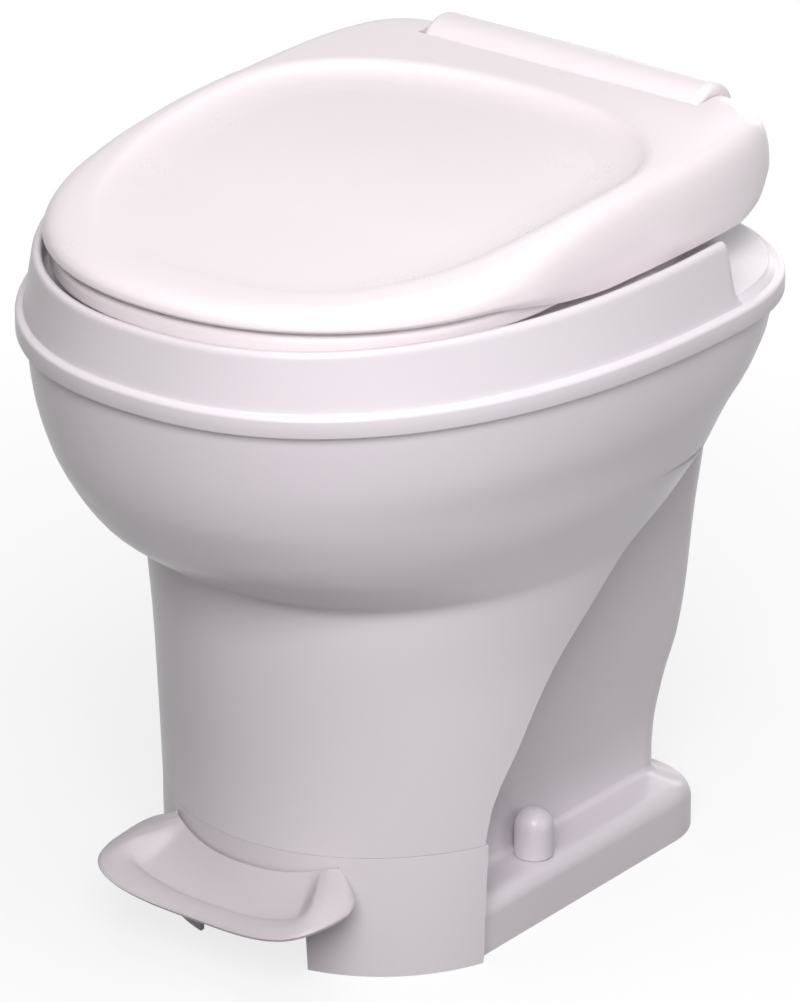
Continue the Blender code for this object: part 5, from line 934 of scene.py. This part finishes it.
def recess_share(step):
    """How deep the tread's recess is at a station: full in the middle and nought at the horns."""
    return float(ease((RECESS_END_STATION - step) / RECESS_BLEND_STATIONS))


def roll_height(step):
    """Height of the rolled rim at a station, thinner towards the horn tips."""
    left = len(PEDAL_EDGES) - 1 - HORN_THIN_STATION
    return PEDAL_ROLL * (1 - HORN_THIN_SHARE * float(ease((step - HORN_THIN_STATION) / left)))


def pedal_stations():
    """Outer and inner edge points of the tread and their station, from left to right."""
    skirt = skirt_plan(PEDAL_EDGES[0][-1], -PEDAL_SKIRT_GAP, TREAD_ANGLES)
    columns = np.array(PEDAL_EDGES).T
    right = []
    for step in np.linspace(0, len(PEDAL_EDGES) - 1, TREAD_STATIONS):
        *outer, inner_x, inner_z = [float(along(step, column)) for column in columns]
        inner_y = float(np.interp(inner_x, skirt[:, 0], skirt[:, 1]))
        right.append((np.array(outer), np.array([inner_x, inner_y, inner_z]), step))
    mirror = np.array([-1, 1, 1])
    left = [(outer * mirror, inner * mirror, step) for outer, inner, step in reversed(right[1:])]
    return left + right


def horn_tip(ring, ahead):
    """Rings that round off a horn of the tread beyond its last ring."""
    middle = ring.mean(axis=0)
    rings = []
    for lean in np.radians(HORN_TIP_DEG):
        rings.append(middle + (ring - middle) * math.cos(lean) + ahead * HORN_TIP * math.sin(lean))
    return rings


def tread_profile(recess):
    """Span, rise and roll shares round the tread, blended from its recess to its horns."""
    table = np.column_stack([PEDAL_SPAN_SHARES, PEDAL_RAMP_SHARES, PEDAL_ROLL_SHARES])
    table = np.concatenate([table, table[:1]])
    top = len(HORN_RAMP_SHARES)
    horn = np.column_stack([table[:top, 0], HORN_RAMP_SHARES, HORN_ROLL_SHARES])
    table[:top] = recess * table[:top] + (1 - recess) * horn
    return [along(steps_through(table, ROW_STEP)[:-1], column)[:, None] for column in table.T]


def make_pedal():
    """Crescent tread wrapped round the skirt."""
    rings = []
    for outer, inner, step in pedal_stations():
        span, rise, roll = tread_profile(recess_share(step))
        ring = mix(outer, inner, span)
        ring[:, 2] = (mix(outer[2], inner[2], rise) + roll * roll_height(step))[:, 0]
        rings.append(ring)
    start = rings[0].mean(axis=0) - rings[3].mean(axis=0)
    end = rings[-1].mean(axis=0) - rings[-4].mean(axis=0)
    rings = horn_tip(rings[0], start / np.linalg.norm(start))[::-1] + rings
    rings += horn_tip(rings[-1], end / np.linalg.norm(end))
    return grid_piece("pedal_tread", rings, round_row=True, ends=True)


def make_pedal_arm():
    """Arm from the tread through the opening to the hub on the pedal shaft."""
    outline = [(PEDAL_ARM_FRONT_Y, PEDAL_ARM_BOTTOM_Z)]
    outline.append((PIVOT_Y - PEDAL_HUB_RADIUS, PIVOT_Z - PEDAL_ARM_THICKNESS))
    outline += arc(PIVOT, PEDAL_HUB_RADIUS, -140, 140, 36)
    outline.append((SKIRT_FRONT[-1], PEDAL_ARM_TOP_Z))
    outline.append((PEDAL_ARM_FRONT_Y, PEDAL_ARM_TOP_Z - PEDAL_ARM_THICKNESS))
    arm = prism("pedal_arm", outline, "X", -PEDAL_ARM_HALF, PEDAL_ARM_HALF)
    reach = PEDAL_ARM_HALF + OVERRUN
    drill(arm, PIVOT, PEDAL_SHAFT_BORE, "X", -reach, reach)
    return round_edges(arm, EDGE, angle=30)


def make_cap(name, side):
    """Bullet-shaped snap cap over a closet bolt."""
    low = FOOT_Z + CLEARANCE
    spring_z = low + CAP_HEIGHT - CAP_RADIUS
    profile = [(CAP_RADIUS - CAP_WALL, low), (CAP_RADIUS - EDGE / 2, low)]
    profile += [(CAP_RADIUS, low + EDGE / 2)]
    profile += [(CAP_RADIUS, height) for height in np.linspace(low + EDGE, spring_z, 6)[:-1]]
    profile += arc((0, spring_z), CAP_RADIUS, 0, 88, 16)
    profile += arc((0, spring_z), CAP_RADIUS - CAP_WALL, 88, 0, 16)
    angles = np.arange(CAP_COLUMNS) * 2 * math.pi / CAP_COLUMNS
    centre = (side * BOLT_X, 0)
    rings = [lifted(polar(BOLT_Y, radius, angles) + centre, height) for radius, height in profile]
    return ring_piece(name, rings)


def feed(node, inputs):
    """Set sockets of a node, or link other nodes' outputs to them."""
    for name, value in inputs.items():
        if isinstance(value, bpy.types.NodeSocket):
            node.id_data.links.new(value, node.inputs[name])
        else:
            node.inputs[name].default_value = value


def add(tree, kind, inputs, **settings):
    """One shader node with its settings and inputs."""
    node = tree.nodes.new(kind)
    for name, value in settings.items():
        setattr(node, name, value)
    feed(node, inputs)
    return node


def maths(operation, first, second):
    """Result of a sum; like the next ones, it joins the tree of the socket that it is given."""
    inputs = {0: first, 1: second}
    return add(first.id_data, "ShaderNodeMath", inputs, operation=operation).outputs[0]


def noise(place, scale, detail=3.0, rough=0.5):
    inputs = {"Vector": place, "Scale": scale, "Detail": detail, "Roughness": rough}
    return add(place.id_data, "ShaderNodeTexNoise", inputs).outputs["Fac"]


def ramp(factor, stops):
    """Colour ramp through stops of a position and a colour."""
    node = add(factor.id_data, "ShaderNodeValToRGB", {"Fac": factor})
    bar = node.color_ramp.elements
    while len(bar) < len(stops):
        bar.new(0.5)
    for element, (at, colour) in zip(bar, stops):
        element.position = at
        element.color = (*colour, 1)
    return node.outputs["Color"]


def shade(colour, factor):
    return tuple(channel * factor for channel in colour)


def remap(value, low, high, ends=NOISE_ENDS):
    """Value stretched from its ends to two limits."""
    start, end = ends
    inputs = {"Value": value, "From Min": start, "From Max": end, "To Min": low, "To Max": high}
    return add(value.id_data, "ShaderNodeMapRange", inputs).outputs["Result"]


def blend_colour(factor, first, second):
    """Mix of a node's colour and a plain one."""
    inputs = {0: factor, 6: first, 7: (*second, 1)}
    return add(factor.id_data, "ShaderNodeMix", inputs, data_type="RGBA").outputs[2]


def bumps(height, strength, distance):
    inputs = {"Height": height, "Strength": strength, "Distance": distance}
    return add(height.id_data, "ShaderNodeBump", inputs).outputs["Normal"]


def start_material(name):
    material = bpy.data.materials.new(name)
    material.use_nodes = True
    tree = material.node_tree
    place = add(tree, "ShaderNodeTexCoord", {}).outputs["Object"]
    return material, tree.nodes["Principled BSDF"], place


def moulded_plastic(name, colour, tint, roughness, coat, peel=0.00003, wear=0.35):
    """Moulded plastic: faint flow clouds, speckle, orange peel, rubbed edges and dulled patches."""
    material, shader, place = start_material(name)
    clouds = noise(place, 5.0, 2.0, 0.4)
    streaks = noise(place, 26.0, 2.0, 0.45)
    speckle = noise(place, 900.0, 2.0, 0.5)
    base = ramp(clouds, ((0.25, tint), (0.5, colour), (0.75, shade(colour, 1.01))))
    base = blend_colour(remap(streaks, 0.0, 0.10), base, shade(tint, 0.97))
    base = blend_colour(remap(speckle, 0.0, 0.03), base, shade(tint, 0.8))
    point = add(place.id_data, "ShaderNodeNewGeometry", {}).outputs["Pointiness"]
    edge = remap(point, 0.0, wear, RUBBED_POINTINESS)
    rubbed = maths("MULTIPLY", edge, remap(streaks, 0.3, 1.0))
    worn = tuple(min(1, channel * 1.05) for channel in colour)
    paint = blend_colour(rubbed, base, worn)
    dulled = maths("ADD", remap(streaks, -0.012, 0.018), roughness)
    feed(shader, {
        "Base Color": paint,
        "Roughness": maths("ADD", dulled, remap(speckle, 0.0, 0.02)),
        "Normal": bumps(noise(place, 320.0, 2.0, 0.4), 0.25, peel),
        "IOR": 1.49,
        "Specular IOR Level": 0.35,
        "Coat Weight": coat,
        "Coat Roughness": 0.12,
    })
    return material


def soft_rubber(name, colour):
    """Dark rubber with bloom, mould grain and pale rubbed spots."""
    material, shader, place = start_material(name)
    bloom = noise(place, 60.0, 6.0, 0.65)
    base = ramp(bloom, ((0.3, colour), (0.62, shade(colour, 1.7)), (0.8, shade(colour, 2.6))))
    feed(shader, {
        "Base Color": base,
        "Roughness": remap(bloom, 0.55, 0.8),
        "Normal": bumps(noise(place, 1400.0, 3.0, 0.6), 0.5, 0.00005),
        "Specular IOR Level": 0.35,
    })
    return material


def worked_metal(name, colour, stain, roughness, lines):
    """Machined or drawn metal: fine lines, stains in patches and brighter rubbed spots."""
    material, shader, place = start_material(name)
    inputs = {"Vector": place, "Scale": lines}
    stretch = add(place.id_data, "ShaderNodeMapping", inputs).outputs["Vector"]
    drawn = noise(stretch, 60.0, 4.0, 0.6)
    patches = noise(place, 90.0, 5.0, 0.6)
    base = ramp(patches, ((0.3, stain), (0.5, colour), (0.8, shade(colour, 1.08))))
    base = blend_colour(remap(drawn, 0.0, 0.25), base, shade(colour, 0.72))
    feed(shader, {
        "Base Color": base,
        "Metallic": 1.0,
        "Roughness": remap(drawn, roughness - 0.08, roughness + 0.12),
        "Normal": bumps(drawn, 0.25, 0.00004),
    })
    return material


def clear_hose(name, colour):
    """Milky flexible tube with a faint woven reinforcement."""
    material, shader, place = start_material(name)
    inputs = {"Vector": place, "Scale": 190.0, "Distortion": 1.5, "Detail": 2.0}
    weave = add(place.id_data, "ShaderNodeTexWave", inputs).outputs["Fac"]
    clouds = noise(place, 45.0, 4.0, 0.55)
    base = ramp(clouds, ((0.3, shade(colour, 0.86)), (0.6, colour)))
    feed(shader, {
        "Base Color": blend_colour(weave, base, shade(colour, 0.82)),
        "Roughness": remap(clouds, 0.22, 0.4),
        "Normal": bumps(weave, 0.3, 0.00006),
        "Subsurface Weight": 0.12,
        "Subsurface Scale": 0.004,
    })
    return material


def make_materials():
    """One procedural material for each slot of the record, and one more for the pedal."""
    looks = {name: moulded_plastic(name + "_look", *values) for name, values in PLASTICS.items()}
    looks["rubber"] = soft_rubber("rubber_look", RUBBER_COLOUR)
    for name, values in METALS.items():
        looks[name] = worked_metal(name + "_look", *values)
    looks["hose"] = clear_hose("hose_look", HOSE_COLOUR)
    return looks


def smooth_faces():
    """Modifier tree that welds a CAD mesh and shades it smooth apart from its sharp edges."""
    tree = bpy.data.node_groups.new("smooth_faces", "GeometryNodeTree")
    for way in ("INPUT", "OUTPUT"):
        tree.interface.new_socket("Geometry", in_out=way, socket_type="NodeSocketGeometry")
    start = tree.nodes.new("NodeGroupInput").outputs[0]
    inputs = {"Geometry": start, "Distance": WELD}
    weld = add(tree, "GeometryNodeMergeByDistance", inputs).outputs[0]
    faces = add(tree, "GeometryNodeSetShadeSmooth", {"Geometry": weld}).outputs[0]
    angle = add(tree, "GeometryNodeInputMeshEdgeAngle", {}).outputs["Unsigned Angle"]
    inputs = {0: angle, 1: math.radians(SHARP_DEG)}
    sharp = add(tree, "FunctionNodeCompare", inputs).outputs["Result"]
    inputs = {"Geometry": faces, "Selection": sharp, "Shade Smooth": False}
    edges = add(tree, "GeometryNodeSetShadeSmooth", inputs, domain="EDGE").outputs[0]
    add(tree, "NodeGroupOutput", {0: edges})
    return tree


def dress_node(node, materials, tree):
    """Give a CAD node its procedural finish, smooth shading and small rounded edges."""
    look = materials[node.data.materials[0].name]
    for slot in node.material_slots:
        slot.link = "OBJECT"
        slot.material = look
    shading = node.modifiers.new("shading", "NODES")
    shading.node_group = tree
    rounding = node.modifiers.new("rounding", "BEVEL")
    rounding.width = NODE_EDGE
    rounding.segments = 2
    rounding.limit_method = "ANGLE"
    rounding.angle_limit = math.radians(SHARP_DEG)
    rounding.harden_normals = True


def mount(piece, body, slot, look, *nodes):
    """Finish a new piece, put it on its body and let it stand for its CAD nodes."""
    piece.data.materials.clear()
    piece.data.materials.append(look)
    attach(piece, body)
    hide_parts(*nodes)


def light_path(tree):
    """One for the rays that meet the white background, nought for those that light the object."""
    path = tree.nodes.new("ShaderNodeLightPath").outputs
    rays = maths("MAXIMUM", path["Is Camera Ray"], path["Is Glossy Ray"])
    return maths("MAXIMUM", rays, path["Is Transmission Ray"])


def make_floor():
    """Wide pale floor that keeps the object's shadow and meets the white background."""
    work = bmesh.new()
    bmesh.ops.create_grid(work, x_segments=8, y_segments=8, size=FLOOR_SIZE)
    mesh = bpy.data.meshes.new("floor")
    work.to_mesh(mesh)
    work.free()
    floor = put("floor", mesh)
    floor.location = (0, 0, -CLEARANCE)
    material = bpy.data.materials.new("floor_paint")
    material.use_nodes = True
    tree = material.node_tree
    tree.nodes.clear()
    spot = add(tree, "ShaderNodeTexCoord", {}).outputs["Object"]
    paint = ramp(noise(spot, 3.0), ((0.3, shade(FLOOR_COLOUR, 0.995)), (0.7, FLOOR_COLOUR)))
    matte = add(tree, "ShaderNodeBsdfDiffuse", {"Color": paint}).outputs[0]
    reach = add(tree, "ShaderNodeVectorMath", {0: spot}, operation="LENGTH").outputs["Value"]
    lift = maths("MULTIPLY", light_path(tree), remap(reach, FLOOR_LIFT, 1.0, LIFT_REACH))
    glow = add(tree, "ShaderNodeEmission", {"Strength": lift}).outputs[0]
    both = add(tree, "ShaderNodeAddShader", {0: matte, 1: glow}).outputs[0]
    add(tree, "ShaderNodeOutputMaterial", {"Surface": both})
    mesh.materials.append(material)


def make_world():
    """White for the camera, dim and even for everything else."""
    world = bpy.data.worlds.new("studio")
    bpy.context.scene.world = world
    world.use_nodes = True
    tree = world.node_tree
    back = tree.nodes["Background"]
    level = remap(light_path(tree), WORLD_LEVEL, 1.0, (0, 1))
    feed(back, {"Color": (1, 1, 1, 1), "Strength": level})


def make_lamps():
    """Soft overhead panel, a high key in front, and weak cooler panels to the right and behind."""
    for name, spot, aim_z, width, power, colour in LAMPS:
        data = bpy.data.lights.new(name, "AREA")
        data.shape = "RECTANGLE"
        data.size = data.size_y = width
        data.energy = power
        data.color = colour
        lamp = put(name, data)
        lamp.location = spot
        ahead = Vector((0, 0, aim_z)) - Vector(spot)
        lamp.rotation_euler = ahead.to_track_quat("-Z", "Y").to_euler()


def make_camera():
    """Camera at the photograph's angle."""
    azimuth = math.radians(CAMERA_AZIMUTH)
    elevation = math.radians(CAMERA_ELEVATION)
    flat = math.cos(elevation)
    back = Vector((math.sin(azimuth) * flat, -math.cos(azimuth) * flat, math.sin(elevation)))
    data = bpy.data.cameras.new("camera")
    data.lens = CAMERA_LENS
    data.sensor_width = CAMERA_SENSOR
    data.clip_start, data.clip_end = CAMERA_CLIP
    camera = put("camera", data)
    camera.location = Vector(CAMERA_AIM) + CAMERA_DISTANCE * back
    camera.rotation_euler = (math.pi / 2 - elevation, 0, azimuth)
    bpy.context.scene.camera = camera


def build_object():
    """Every visible moulding over its CAD node, and a finish for each node that stays."""
    looks = make_materials()
    shell = ("body", "shell_plastic", looks["shell_plastic"])
    bowl = ("body", "bowl_plastic", looks["bowl_plastic"])
    pedal = ("pedal", "shell_plastic", looks["pedal_plastic"])
    lid = ("lid_plastic", looks["lid_plastic"])
    mount(make_collar(), *shell, "rim_collar")
    mount(make_shell(), *shell, "front_shell")
    mount(make_skirt(), *shell, "front_skirt")
    mount(make_base(), *shell, "rear_base")
    mount(make_bowl(), *bowl, "bowl")
    mount(make_cover(), "body", *lid, "hinge_cover")
    mount(make_lid(), "lid", *lid, "lid")
    mount(make_seat(), "seat", *lid, "seat_ring")
    mount(make_pedal(), *pedal, "foot_pedal")
    mount(make_pedal_arm(), *pedal, "foot_pedal")
    for name, side in (("left", -1), ("right", 1)):
        mount(make_cap("cap_moulding_" + name, side), *shell, "bolt_cap_" + name)
    tree = smooth_faces()
    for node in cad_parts.values():
        if not node.hide_render:
            dress_node(node, looks, tree)


build_object()
make_floor()
make_world()
make_lamps()
make_camera()
bpy.context.scene.view_settings.view_transform = "Standard"
